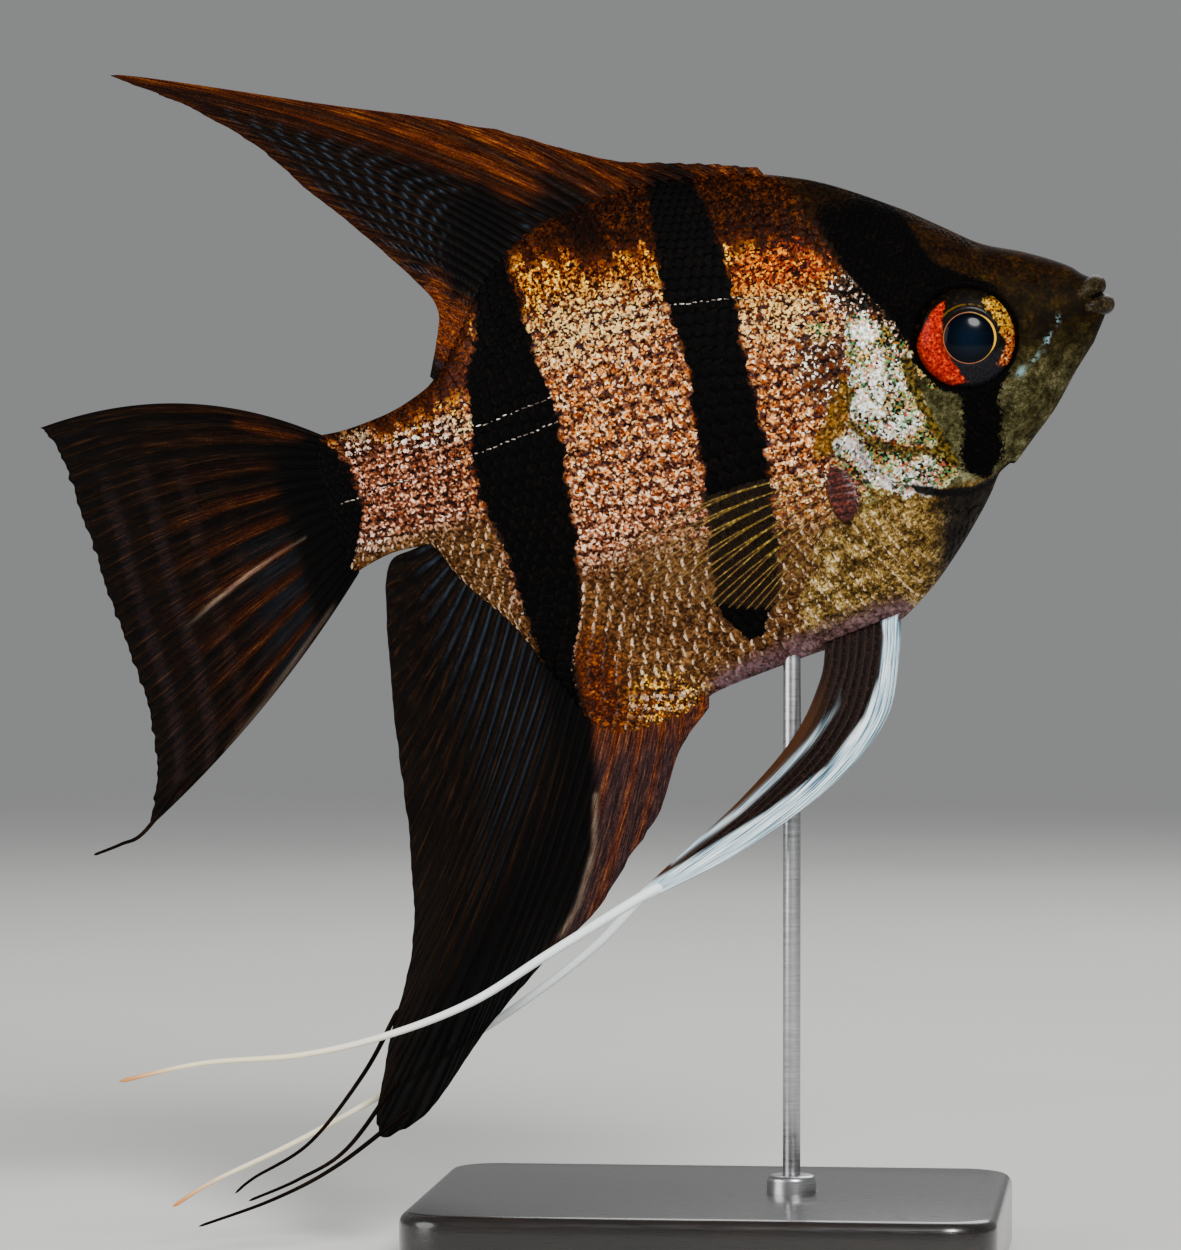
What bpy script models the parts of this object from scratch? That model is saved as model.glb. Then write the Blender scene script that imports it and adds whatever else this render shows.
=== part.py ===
"""A freshwater angelfish as a still, life-size display model on a plain stand.

The fish is built level in its own frame: X runs from the root of the tail fin to the snout, Z is
up and the fish's left side is +Y. An empty then tips it nose up and lifts it onto the stand. The
origin of the whole model is the middle of the underside of the stand's base.
"""

import bisect
import math

import bmesh
import bpy
from mathutils import Matrix, Vector

# Driving dimensions, in metres and radians.
STANDARD_LENGTH = 0.090  # from the snout to the root of the tail fin
NOSE_UP = math.radians(15.0)  # how far the body's axis climbs towards the head
TAIL_ROOT_HEIGHT = 0.0857  # of the tail fin's root over the floor
TAIL_ROOT_BEHIND = 0.0425  # of the tail fin's root behind the middle of the base
BASE_SIZE = (0.066, 0.054, 0.008)
BASE_CHAMFER = 0.0012
ROD_RADIUS = 0.0010
COLLAR_RADIUS = 0.0028
COLLAR_HEIGHT = 0.0020

# The fish's outlines are in units of a ninetieth of the standard length, so about millimetres.
UNIT = STANDARD_LENGTH / 90.0
GAP = 0.3  # between two pieces that touch
CUT_REACH = 20.0  # how far a cutter runs to each side of the middle plane

# The body: its back, its belly, the height where it is widest and its half width there, at places
# along the body, and how sharply its section closes towards the back and the belly.
SNOUT, BODY_END = 90.8, -2.0
BACK = [
    (-2, 8.6), (2, 8.2), (7, 8.6), (12.5, 10.2), (14.5, 11.6), (18, 15.6), (22, 20.6), (26, 23.5),
    (31, 25.6), (40, 26.6), (50, 25.4), (60, 22.1), (70, 15.7), (78, 10.1), (82, 8.1), (87.3, 4.5),
    (89.5, 2.9), (90.2, 1.2), (90.8, 0.3),
]
BELLY = [
    (-2, -9.0), (1, -7.6), (5, -6.9), (8.5, -7.1), (11, -12), (15.5, -18.8), (19, -27), (22, -32.8),
    (25, -34.1), (31, -33.6), (36, -31.6), (45, -30.5), (57, -29.4), (62, -26.8), (66, -23.6),
    (70.5, -19.2), (73.2, -16.2), (77.4, -13.0), (81, -10.4), (84.4, -6.9), (88, -3.6), (90, -1.8),
    (90.8, -0.9),
]
WIDEST_AT = [(-2, 0), (20, -2), (40, -3), (60, -4), (74, -0.6), (86, -0.6), (90.8, -0.3)]
HALF_WIDTH = [
    (-2, 1.1), (5, 2.0), (10, 2.7), (20, 4.1), (35, 5.9), (50, 6.9), (60, 7.2), (67, 7.0),
    (74, 6.2), (80, 5.1), (85, 3.8), (88.5, 2.7), (90, 1.9), (90.8, 1.0),
]
BACK_SHARPNESS = [(-2, 0.5), (10, 0.6), (25, 0.85), (50, 0.8), (60, 0.7), (74, 0.6), (90, 0.5)]
BELLY_SHARPNESS = [(-2, 0.5), (8, 0.6), (20, 0.85), (34, 0.8), (45, 0.62), (74, 0.65), (90, 0.5)]
STATIONS = 46
ROUND_SIDE = 10  # faces down one side of a ring

# The thin cuts that part the body, as lines seen from the side.
MOUTH_CUT = [(94, 0.4), (88.4, 0.3), (86.2, -2.3), (83.5, -5.2), (81, -8.2), (79.5, -14)]
NECK_CUT = [(67, 27), (62, 14), (58.9, 6.5), (57.6, 0), (57.5, -5), (60, -12), (63.6, -17.3), (69, -27)]
TAIL_CUT = [(10.2, 14), (9, 2), (7.4, -12)]
GILL_COVER = [
    (66.8, 5.2), (62.6, 6.2), (60.3, 2.6), (59.2, -2.5), (59.8, -7.5), (62.4, -12.4), (66.2, -15.8),
    (70.4, -15.6), (70.6, -12.2), (67.4, -8.6), (66.2, -2.6),
]
GILL_COVER_INNER = 4.7  # how far the cover's inner face is from the middle plane

# The eye is a flattened ball whose rim lies under the skin.
EYE_PLACE = (74.0, 3.9, 0.0)
EYE_RADII = (6.15, 3.0, 6.15)

# Each unpaired fin is a fan of rays: where they rise, inside the flesh, and where they end. The
# two lists of the dorsal fin give the same rays, one by one.
DORSAL_ROOT = [
    (56.6, 22.4), (53, 23.2), (50, 24.2), (46, 25.0), (42, 25.4), (38, 25.6), (34, 25.2), (31.5, 24.6),
    (29, 23.6), (27, 22.6), (25, 21.2), (23, 19.6), (21.2, 17.6), (19.6, 15.4), (17.6, 13.2), (12.6, 9.2),
]
DORSAL_EDGE = [
    (55.6, 24.5), (51, 26.2), (46, 27.7), (40, 29.6), (34, 32.9), (26, 37.6), (10, 44.4), (-12, 53.9),
    (-8.6, 50.8), (-4.8, 47.8), (1.0, 42.0), (5.5, 35.5), (10.2, 29.2), (15.0, 21.6), (15.6, 17.0),
    (11.4, 10.7),
]
ANAL_ROOT = [(35.2, -30.6), (29, -32.6), (23, -32.2), (20, -27), (17, -19.5), (13, -14.0), (9, -6.0)]
ANAL_EDGE = [
    (34.6, -33.0), (30, -37.0), (26, -43.2), (21.5, -47.2), (16.6, -51.8), (9, -56.2), (0.3, -62.2),
    (-8.2, -69.3), (-14.6, -70.6), (-11.4, -62.0), (-5.4, -51.0), (-2.6, -40.0), (-0.6, -26.0),
    (1.6, -14.0), (3.6, -7.9), (7.4, -7.0),
]
TAIL_FIN_ROOT = [(-0.6, 8.2), (-0.2, 3.0), (-0.2, -3.0), (-0.8, -8.4)]
TAIL_FIN_EDGE = [
    (-31.4, 17.4), (-30.0, 14.4), (-29.1, 5.0), (-28.5, -5.0), (-27.7, -15.0), (-28.4, -23.0),
    (-31.0, -29.9),
]
ANAL_STREAMERS = (
    [(-9.6, -59.6), (-14.4, -63.3), (-22.4, -69.3), (-29.7, -71.6), (-32.3, -72.8)],
    [(-11.6, -66.4), (-18.4, -71.0), (-24.6, -73.0), (-31.0, -74.0)],
    [(-12.0, -69.6), (-20.0, -72.6), (-28.0, -74.5), (-37.4, -75.4)],
)
TAIL_FIN_STREAMER = [(-27.6, -27.6), (-31.6, -30.2), (-34.6, -30.9), (-38.0, -31.3)]
STREAMER_ROOT, STREAMER_TIP = 0.42, 0.27  # radii
FIN_AT_ROOT, FIN_AT_EDGE = 1.3, 0.55  # thickness of a fin's membrane
RAY_PROUD = 1.35  # how much thicker a ray is than the membrane beside it

# The right pectoral fin: rays from a fleshy lobe, fanning back and away from the flank.
PECTORAL_ROOT = [(55.4, -10.8), (54.9, -13.4), (54.2, -16.2)]
PECTORAL_EDGE = [(31.0, -12.8), (31.0, -15.4), (32.8, -18.0), (36.2, -20.6), (40.6, -22.8), (45.6, -24.4)]
PECTORAL_SPREAD = 0.20  # sideways for each step back
PECTORAL_LOBE = (56.0, 6.15, -13.2)
PECTORAL_LOBE_RADII = (2.0, 0.9, 3.9)

# The right pelvic fin, between its leading and its trailing edge, then the long streamer. Each
# point is a place along the body, a distance from the middle plane and a height.
PELVIC_LEADING = [
    (58.4, 2.6, -28.2), (57.4, 3.4, -32.6), (53.6, 4.6, -39.6), (46.0, 5.4, -44.9), (34.6, 5.8, -49.4),
    (22.2, 5.9, -52.2),
]
PELVIC_TRAILING = [
    (49.4, 1.7, -29.2), (47.7, 2.3, -33.2), (43.2, 3.1, -38.6), (35.7, 4.4, -43.8), (27.3, 5.4, -48.2),
    (21.9, 5.9, -51.1),
]
RIGHT_STREAMER = [
    (21.6, 5.9, -51.7), (10.4, 5.6, -55.1), (0.4, 5.2, -58.2), (-10, 5.0, -59.4), (-20, 5.0, -59.1),
    (-31, 5.0, -57.2), (-40.9, 5.0, -56.8),
]
LEFT_STREAMER = [
    (21.6, 5.9, -51.7), (14.4, 6.1, -56.1), (5, 6.0, -60.1), (-4, 5.6, -63.2), (-13, 5.2, -66.2),
    (-25, 4.8, -69.2), (-35, 4.6, -71.1), (-40.6, 4.6, -72.8),
]
PELVIC_STREAMER_ROOT, PELVIC_STREAMER_TIP = 0.65, 0.27

# Where the rod meets the belly: along the body, and the height of the rod's end in the flesh.
ROD_PLACE = (45.0, -30.5)
ROD_SUNK = 3.5


def height_on(points, x):
    """The height at x on the smooth curve through the points, without overshoot."""
    places = [point[0] for point in points]
    x = min(max(x, places[0]), places[-1])
    i = min(bisect.bisect_right(places, x), len(points) - 1) - 1

    def rise(k):
        return (points[k + 1][1] - points[k][1]) / (points[k + 1][0] - points[k][0])

    def slope(k):
        if k == 0:
            return rise(0)
        if k == len(points) - 1:
            return rise(k - 1)
        before, after = rise(k - 1), rise(k)
        return 0.0 if before * after <= 0 else 2 * before * after / (before + after)

    span = places[i + 1] - places[i]
    t = (x - places[i]) / span
    start, end = points[i][1], points[i + 1][1]
    return (
        start * (1 + 2 * t) * (1 - t) ** 2
        + slope(i) * span * t * (1 - t) ** 2
        + end * t * t * (3 - 2 * t)
        - slope(i + 1) * span * t * t * (1 - t)
    )


def along(points, t, even=False):
    """The point at a share t of the way along the smooth curve through the points.

    The way is measured by length, or with even by the number of points.
    """
    points = [Vector(point) for point in points]
    marks = [0.0]
    for a, b in zip(points, points[1:]):
        marks.append(marks[-1] + (1.0 if even else (b - a).length))
    where = t * marks[-1]
    i = min(bisect.bisect_right(marks, where), len(points) - 1) - 1
    f = (where - marks[i]) / (marks[i + 1] - marks[i])
    p1, p2 = points[i], points[i + 1]
    p0 = points[i - 1] if i else 2 * p1 - p2
    p3 = points[i + 2] if i + 2 < len(points) else 2 * p2 - p1
    ahead = (p2 - p0) * f + (2 * p0 - 5 * p1 + 4 * p2 - p3) * f**2 + (3 * p1 - p0 - 3 * p2 + p3) * f**3
    return p1 + ahead / 2


def body_point(s, v, side, swell=0.0):
    """A point on the body at place s: v is 1 on the back, 0 at the widest and -1 on the belly."""
    middle = height_on(WIDEST_AT, s)
    edge = height_on(BACK, s) + swell if v > 0 else height_on(BELLY, s) - swell
    sharpness = height_on(BACK_SHARPNESS if v > 0 else BELLY_SHARPNESS, s)
    y = (height_on(HALF_WIDTH, s) + swell) * max(0.0, 1 - v * v) ** sharpness
    return Vector((s, side * y, middle + abs(v) * (edge - middle))) * UNIT


def clear_scene():
    for obj in list(bpy.data.objects):
        bpy.data.objects.remove(obj, do_unlink=True)


def new_collection(name):
    collection = bpy.data.collections.new(name)
    bpy.context.scene.collection.children.link(collection)
    return collection


def new_material(name, colour, roughness, metallic=0.0):
    material = bpy.data.materials.new(name)
    material.use_nodes = True
    shader = material.node_tree.nodes["Principled BSDF"]
    shader.inputs["Base Color"].default_value = (*colour, 1.0)
    shader.inputs["Roughness"].default_value = roughness
    shader.inputs["Metallic"].default_value = metallic
    return material


clear_scene()
parts = new_collection("freshwater_angelfish")
cutters = new_collection("cutters")

fish_pose = bpy.data.objects.new("fish_pose", None)
fish_pose.location = (-TAIL_ROOT_BEHIND, 0.0, TAIL_ROOT_HEIGHT)
fish_pose.rotation_euler = (0.0, -NOSE_UP, 0.0)
parts.objects.link(fish_pose)

flank_skin = new_material("flank_skin", (0.42, 0.27, 0.19), 0.35, 0.2)
head_skin = new_material("head_skin", (0.33, 0.31, 0.2), 0.35, 0.2)
gill_cover_skin = new_material("gill_cover_skin", (0.6, 0.62, 0.56), 0.25, 0.5)
eye_gloss = new_material("eye_gloss", (0.6, 0.06, 0.01), 0.08)
dark_fin = new_material("dark_fin", (0.02, 0.014, 0.01), 0.5)
clear_fin = new_material("clear_fin", (0.4, 0.33, 0.1), 0.4)
white_ray = new_material("white_ray", (0.62, 0.72, 0.74), 0.35)
base_lacquer = new_material("base_lacquer", (0.02, 0.018, 0.016), 0.25)
rod_steel = new_material("rod_steel", (0.6, 0.6, 0.6), 0.3, 1.0)


def add_object(name, mesh, material=None, fish=True):
    """A part of the model. A part of the fish is tipped and lifted with it."""
    obj = bpy.data.objects.new(name, mesh)
    parts.objects.link(obj)
    if material:
        mesh.materials.clear()
        mesh.materials.append(material)
    if fish:
        obj.parent = fish_pose
    return obj


def as_cutter(obj):
    parts.objects.unlink(obj)
    cutters.objects.link(obj)
    obj.hide_render = True
    obj.display_type = "WIRE"
    return obj


def mesh_from(bm, name, smooth=True):
    mesh = bpy.data.meshes.new(name)
    bm.to_mesh(mesh)
    bm.free()
    if smooth:
        mesh.shade_smooth()
        mesh.set_sharp_from_angle(angle=math.radians(40))
    return mesh


def boolean(obj, other, operation="DIFFERENCE"):
    modifier = obj.modifiers.new(f"{operation.lower()}_{other.name}", "BOOLEAN")
    modifier.operation = operation
    modifier.object = other


def solidify(obj, thickness):
    modifier = obj.modifiers.new("thickness", "SOLIDIFY")
    modifier.thickness = thickness * UNIT
    modifier.offset = 0.0
    modifier.use_even_offset = True
    return modifier


def evaluated_mesh(obj):
    graph = bpy.context.evaluated_depsgraph_get()
    graph.update()
    return bpy.data.meshes.new_from_object(obj.evaluated_get(graph))


# ------------------------------------------------------------------------------ body and its cuts


def body_loft(name, swell=0.0):
    """The whole body as rings from the tail's root to the snout, closer together at the head."""
    bm = bmesh.new()
    rings = []
    for k in range(STATIONS + 1):
        share = 1 - (1 - k / STATIONS) ** 1.2
        s = BODY_END + (SNOUT - BODY_END) * share
        ring = []
        for j in range(2 * ROUND_SIDE):
            v = math.cos(math.pi * j / ROUND_SIDE)
            side = -1 if j < ROUND_SIDE else 1
            ring.append(bm.verts.new(body_point(s, v, side, swell)))
        rings.append(ring)
    if swell:
        for vert in rings[0] + rings[-1]:
            vert.co.x += swell * UNIT * (1 if vert in rings[-1] else -1)
    for behind, ahead in zip(rings, rings[1:]):
        for j in range(2 * ROUND_SIDE):
            around = (j + 1) % (2 * ROUND_SIDE)
            bm.faces.new((behind[j], behind[around], ahead[around], ahead[j]))
    bm.faces.new(rings[0])
    bm.faces.new(rings[-1])
    bmesh.ops.recalc_face_normals(bm, faces=bm.faces)
    return mesh_from(bm, name)


def cut_sheet(name, line):
    """A thin wall across the whole body along a line seen from the side."""
    bm = bmesh.new()
    rows = [[bm.verts.new(Vector((s, y, h)) * UNIT) for y in (-CUT_REACH, CUT_REACH)] for s, h in line]
    for a, b in zip(rows, rows[1:]):
        bm.faces.new((a[0], a[1], b[1], b[0]))
    sheet = as_cutter(add_object(name, mesh_from(bm, name, smooth=False)))
    solidify(sheet, GAP)
    return sheet


def cut_cup(name, outline, inner, side):
    """A thin cup, open to the outside, that frees a plate of the body's surface."""
    bm = bmesh.new()
    floor = [bm.verts.new(Vector((s, side * inner, h)) * UNIT) for s, h in outline]
    rim = [bm.verts.new(Vector((s, side * CUT_REACH, h)) * UNIT) for s, h in outline]
    for i in range(len(outline)):
        after = (i + 1) % len(outline)
        bm.faces.new((floor[i], floor[after], rim[after], rim[i]))
    bm.faces.new(floor)
    bmesh.ops.recalc_face_normals(bm, faces=bm.faces)
    cup = as_cutter(add_object(name, mesh_from(bm, name, smooth=False)))
    solidify(cup, GAP)
    return cup


def smooth_outline(points, count):
    """A closed outline of this many points on the smooth curve round the given ones."""
    ring = points[-1:] + points + points[:2]
    lengths = [(Vector(b) - Vector(a)).length for a, b in zip(ring, ring[1:])]
    start, whole = lengths[0] / sum(lengths), sum(lengths[1:-1]) / sum(lengths)
    return [tuple(along(ring, start + whole * k / count)) for k in range(count)]


def ellipsoid(name, place, radii, around, along_axis, material=None):
    """A ball of the given radii, with its poles on the Y axis."""
    bm = bmesh.new()
    bmesh.ops.create_uvsphere(bm, u_segments=around, v_segments=along_axis, radius=1.0)
    turn = Matrix.Rotation(math.pi / 2, 4, "X")
    size = Matrix.Diagonal((*(radius * UNIT for radius in radii), 1.0))
    move = Matrix.Translation(Vector(place) * UNIT)
    bmesh.ops.transform(bm, matrix=move @ size @ turn, verts=bm.verts)
    return add_object(name, mesh_from(bm, name), material)


def loose_pieces(mesh):
    """Each piece of a parted mesh as its own bmesh."""
    whole = bmesh.new()
    whole.from_mesh(mesh)
    whole.verts.ensure_lookup_table()
    unseen = set(range(len(whole.verts)))
    groups = []
    while unseen:
        group, front = set(), [unseen.pop()]
        while front:
            index = front.pop()
            group.add(index)
            for edge in whole.verts[index].link_edges:
                other = edge.other_vert(whole.verts[index]).index
                if other in unseen:
                    unseen.discard(other)
                    front.append(other)
        groups.append(group)
    whole.free()
    for group in groups:
        piece = bmesh.new()
        piece.from_mesh(mesh)
        others = [vert for vert in piece.verts if vert.index not in group]
        bmesh.ops.delete(piece, geom=others, context="VERTS")
        yield piece


def centre_of(bm):
    return sum((vert.co for vert in bm.verts), Vector()) / len(bm.verts) / UNIT


# The stand's rod is set out first, because the trunk has a hole for its end.
def in_row(s, h):
    """A point of the fish's middle plane in the model's own frame."""
    return Vector((
        (s * math.cos(NOSE_UP) - h * math.sin(NOSE_UP)) * UNIT - TAIL_ROOT_BEHIND,
        0.0,
        (s * math.sin(NOSE_UP) + h * math.cos(NOSE_UP)) * UNIT + TAIL_ROOT_HEIGHT,
    ))


def upright_cylinder(name, radius, bottom, top, sides, material=None):
    """A cylinder on the rod's axis, standing in the model's own frame."""
    bm = bmesh.new()
    bmesh.ops.create_cone(
        bm, cap_ends=True, segments=sides, radius1=radius, radius2=radius, depth=top - bottom
    )
    bmesh.ops.translate(bm, vec=(in_row(*ROD_PLACE).x, 0, (top + bottom) / 2), verts=bm.verts)
    return add_object(name, mesh_from(bm, name), material, fish=False)


belly_height = in_row(*ROD_PLACE).z
rod_top = belly_height + ROD_SUNK * UNIT
gap = GAP * UNIT

body = as_cutter(add_object("whole_body", body_loft("whole_body")))
grown_body = as_cutter(add_object("grown_body", body_loft("grown_body", GAP)))
for side_name, side in (("left", 1), ("right", -1)):
    outline = smooth_outline(GILL_COVER, 22)
    boolean(body, cut_cup(f"gill_cut_{side_name}", outline, GILL_COVER_INNER, side))
    place = (EYE_PLACE[0], side * EYE_PLACE[1], EYE_PLACE[2])
    socket_radii = [radius + GAP for radius in EYE_RADII]
    boolean(body, as_cutter(ellipsoid(f"socket_{side_name}", place, socket_radii, 18, 10)))
    ellipsoid(f"eye_{side_name}", place, EYE_RADII, 18, 10, eye_gloss)
boolean(body, as_cutter(upright_cylinder("rod_hole", ROD_RADIUS + gap, 0.0, rod_top + gap, 16)))
for name, line in (("mouth_cut", MOUTH_CUT), ("neck_cut", NECK_CUT), ("tail_cut", TAIL_CUT)):
    boolean(body, cut_sheet(name, line))

PIECE_MARKS = {
    "head": ((74, 0, 3), head_skin),
    "lower_jaw": ((86, 0, -4.5), head_skin),
    "gill_cover_left": ((64, 6, -5), gill_cover_skin),
    "gill_cover_right": ((64, -6, -5), gill_cover_skin),
    "trunk": ((35, 0, 0), flank_skin),
    "tail": ((3, 0, 0), flank_skin),
}
for piece in loose_pieces(evaluated_mesh(body)):
    centre = centre_of(piece)
    name = min(PIECE_MARKS, key=lambda n: (Vector(PIECE_MARKS[n][0]) - centre).length)
    add_object(name, mesh_from(piece, name), PIECE_MARKS[name][1])


# ------------------------------------------------------------------------------------------ fins


def fin_sheet(name, root, edge, rays, steps, bow, material, place=None, ray_by_ray=False):
    """A fin as one sheet of rays and membrane, thickest at its root and along each ray.

    bow is how far a ray arches at its middle, as a share of its length, at the first and the
    last ray. place turns a point of the side view into a point in space. With ray_by_ray the
    points of root and edge belong together.
    """
    place = place or (lambda point, u: Vector((point.x, 0.0, point.y)))
    bm = bmesh.new()
    columns = 2 * rays + 1
    weights, grid = [], []
    for i in range(columns):
        t = i / (columns - 1)
        start, end = along(root, t, ray_by_ray), along(edge, t, ray_by_ray)
        chord = end - start
        arch = Vector((chord.y, -chord.x)) * (bow[0] + (bow[1] - bow[0]) * t)
        column = []
        for j in range(steps + 1):
            u = j / steps
            point = start + chord * u + arch * 4 * u * (1 - u)
            column.append(bm.verts.new(place(point, u) * UNIT))
            thickness = FIN_AT_ROOT + (FIN_AT_EDGE - FIN_AT_ROOT) * u**0.6
            weights.append(thickness * (RAY_PROUD if i % 2 else 1.0))
        grid.append(column)
    for a, b in zip(grid, grid[1:]):
        for j in range(steps):
            bm.faces.new((a[j], b[j], b[j + 1], a[j + 1]))
    fin = add_object(name, mesh_from(bm, name), material)
    group = fin.vertex_groups.new(name="thickness")
    thickest = max(weights)
    for index, weight in enumerate(weights):
        group.add([index], weight / thickest, "REPLACE")
    modifier = solidify(fin, thickest)
    modifier.use_even_offset = False
    modifier.vertex_group = "thickness"
    return fin


def tube(name, points, root_radius, tip_radius, count, material=None):
    """A tapering thread along the smooth curve through the points, as a closed mesh."""
    curve = bpy.data.curves.new(name, "CURVE")
    curve.dimensions = "3D"
    curve.bevel_depth = UNIT
    curve.bevel_resolution = 1
    curve.use_fill_caps = True
    spline = curve.splines.new("POLY")
    spline.points.add(count - 1)
    for k, point in enumerate(spline.points):
        t = k / (count - 1)
        point.co = (*(along(points, t) * UNIT), 1.0)
        point.radius = root_radius + (tip_radius - root_radius) * t
    thread = add_object(f"{name}_curve", curve)
    mesh = evaluated_mesh(thread)
    bpy.data.objects.remove(thread)
    bm = bmesh.new()
    bm.from_mesh(mesh)
    bmesh.ops.remove_doubles(bm, verts=bm.verts, dist=0.00001)
    bmesh.ops.recalc_face_normals(bm, faces=bm.faces)
    return add_object(name, mesh_from(bm, name), material)


def side_view(points):
    return [(s, 0.0, h) for s, h in points]


dorsal_fin = fin_sheet(
    "dorsal_fin", DORSAL_ROOT, DORSAL_EDGE, 15, 5, (0.02, 0.06), dark_fin, ray_by_ray=True
)
boolean(dorsal_fin, grown_body)

anal_fin = fin_sheet("anal_fin", ANAL_ROOT, ANAL_EDGE, 12, 6, (-0.02, -0.03), dark_fin)
for number, points in enumerate(ANAL_STREAMERS, 1):
    thread = tube(f"anal_streamer_{number}", side_view(points), STREAMER_ROOT, STREAMER_TIP, 9)
    boolean(anal_fin, as_cutter(thread), "UNION")
boolean(anal_fin, grown_body)

caudal_fin = fin_sheet("caudal_fin", TAIL_FIN_ROOT, TAIL_FIN_EDGE, 11, 5, (0.10, -0.035), dark_fin)
thread = tube("caudal_streamer", side_view(TAIL_FIN_STREAMER), STREAMER_ROOT, STREAMER_TIP, 6)
boolean(caudal_fin, as_cutter(thread), "UNION")
boolean(caudal_fin, grown_body)


def pectoral_place(side):
    root_s, root_y, _ = PECTORAL_LOBE

    def place(point, u):
        return Vector((point.x, side * (root_y + PECTORAL_SPREAD * (root_s - point.x)), point.y))

    return place


def pelvic_sheet(name, side):
    """A pelvic fin between its thick leading spine and its trailing edge."""
    bm = bmesh.new()
    across, steps = 4, 13
    weights, grid = [], []
    for j in range(steps + 1):
        lead, trail = along(PELVIC_LEADING, j / steps), along(PELVIC_TRAILING, j / steps)
        row = []
        for i in range(across + 1):
            share = i / across
            point = lead.lerp(trail, share)
            row.append(bm.verts.new(Vector((point.x, side * point.y, point.z)) * UNIT))
            weights.append(1.2 if i == 0 else 0.8 if i == 2 else FIN_AT_EDGE)
        grid.append(row)
    for a, b in zip(grid, grid[1:]):
        for i in range(across):
            bm.faces.new((a[i], a[i + 1], b[i + 1], b[i]))
    fin = add_object(name, mesh_from(bm, name), white_ray)
    group = fin.vertex_groups.new(name="thickness")
    for index, weight in enumerate(weights):
        group.add([index], weight / max(weights), "REPLACE")
    modifier = solidify(fin, max(weights))
    modifier.use_even_offset = False
    modifier.vertex_group = "thickness"
    boolean(fin, grown_body)
    return fin


for side_name, side, streamer in (("left", 1, LEFT_STREAMER), ("right", -1, RIGHT_STREAMER)):
    fin = fin_sheet(
        f"pectoral_fin_{side_name}", PECTORAL_ROOT, PECTORAL_EDGE, 6, 4, (0.08, -0.02), clear_fin,
        pectoral_place(side),
    )
    lobe_place = (PECTORAL_LOBE[0], side * PECTORAL_LOBE[1], PECTORAL_LOBE[2])
    lobe = ellipsoid(f"pectoral_lobe_{side_name}", lobe_place, PECTORAL_LOBE_RADII, 10, 6)
    boolean(fin, as_cutter(lobe), "UNION")
    boolean(fin, grown_body)
    pelvic_sheet(f"pelvic_fin_{side_name}", side)
    route = [(s, side * y, h) for s, y, h in streamer]
    tube(f"pelvic_streamer_{side_name}", route, PELVIC_STREAMER_ROOT, PELVIC_STREAMER_TIP, 22, white_ray)


# ----------------------------------------------------------------------------------------- stand


def make_base():
    """The flat base, a block with its upper edges chamfered and a hole for the rod."""
    bm = bmesh.new()
    bmesh.ops.create_cube(bm, size=1.0)
    bmesh.ops.scale(bm, vec=BASE_SIZE, verts=bm.verts)
    bmesh.ops.translate(bm, vec=(0, 0, BASE_SIZE[2] / 2), verts=bm.verts)
    half = BASE_SIZE[2] / 2
    upright = [e for e in bm.edges if abs(e.verts[0].co.z - e.verts[1].co.z) > half]
    bmesh.ops.bevel(
        bm, geom=upright, offset=0.006, segments=5, profile=0.5, affect="EDGES", clamp_overlap=True
    )
    upper = [e for e in bm.edges if min(v.co.z for v in e.verts) > half]
    bmesh.ops.bevel(
        bm, geom=upper, offset=BASE_CHAMFER, segments=1, affect="EDGES", clamp_overlap=True
    )
    return add_object("stand_base", mesh_from(bm, "stand_base", smooth=False), base_lacquer, fish=False)


def make_collar():
    """The ring round the rod's foot, turned with a rounded shoulder."""
    inner, outer = ROD_RADIUS + gap, COLLAR_RADIUS
    foot, head = BASE_SIZE[2] + gap, BASE_SIZE[2] + gap + COLLAR_HEIGHT
    shoulder = 0.0006
    profile = [(inner, head), (outer - shoulder, head), (outer, head - shoulder), (outer, foot), (inner, foot)]
    bm = bmesh.new()
    verts = [bm.verts.new((x, 0, z)) for x, z in profile]
    for a, b in zip(verts, verts[1:] + verts[:1]):
        bm.edges.new((a, b))
    collar = add_object("stand_collar", mesh_from(bm, "stand_collar", smooth=False), rod_steel, fish=False)
    collar.location = (in_row(*ROD_PLACE).x, 0, 0)
    screw = collar.modifiers.new("turned", "SCREW")
    screw.steps = screw.render_steps = 20
    screw.use_merge_vertices = True
    screw.merge_threshold = 0.00001
    return collar


stand_base = make_base()
rod_foot = BASE_SIZE[2] * 0.35
boolean(stand_base, as_cutter(upright_cylinder("base_hole", ROD_RADIUS + gap, rod_foot, 0.02, 16)))
upright_cylinder("stand_rod", ROD_RADIUS, rod_foot + gap, rod_top, 16, rod_steel)
make_collar()
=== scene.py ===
# ---- The frame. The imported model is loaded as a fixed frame. The fish was laid out level, in
# millimetres from the root of its tail fin: s along the body, y to its left and h up. It hangs nose
# up over the stand, and every piece of it is laid out level and then put there.
import math

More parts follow.
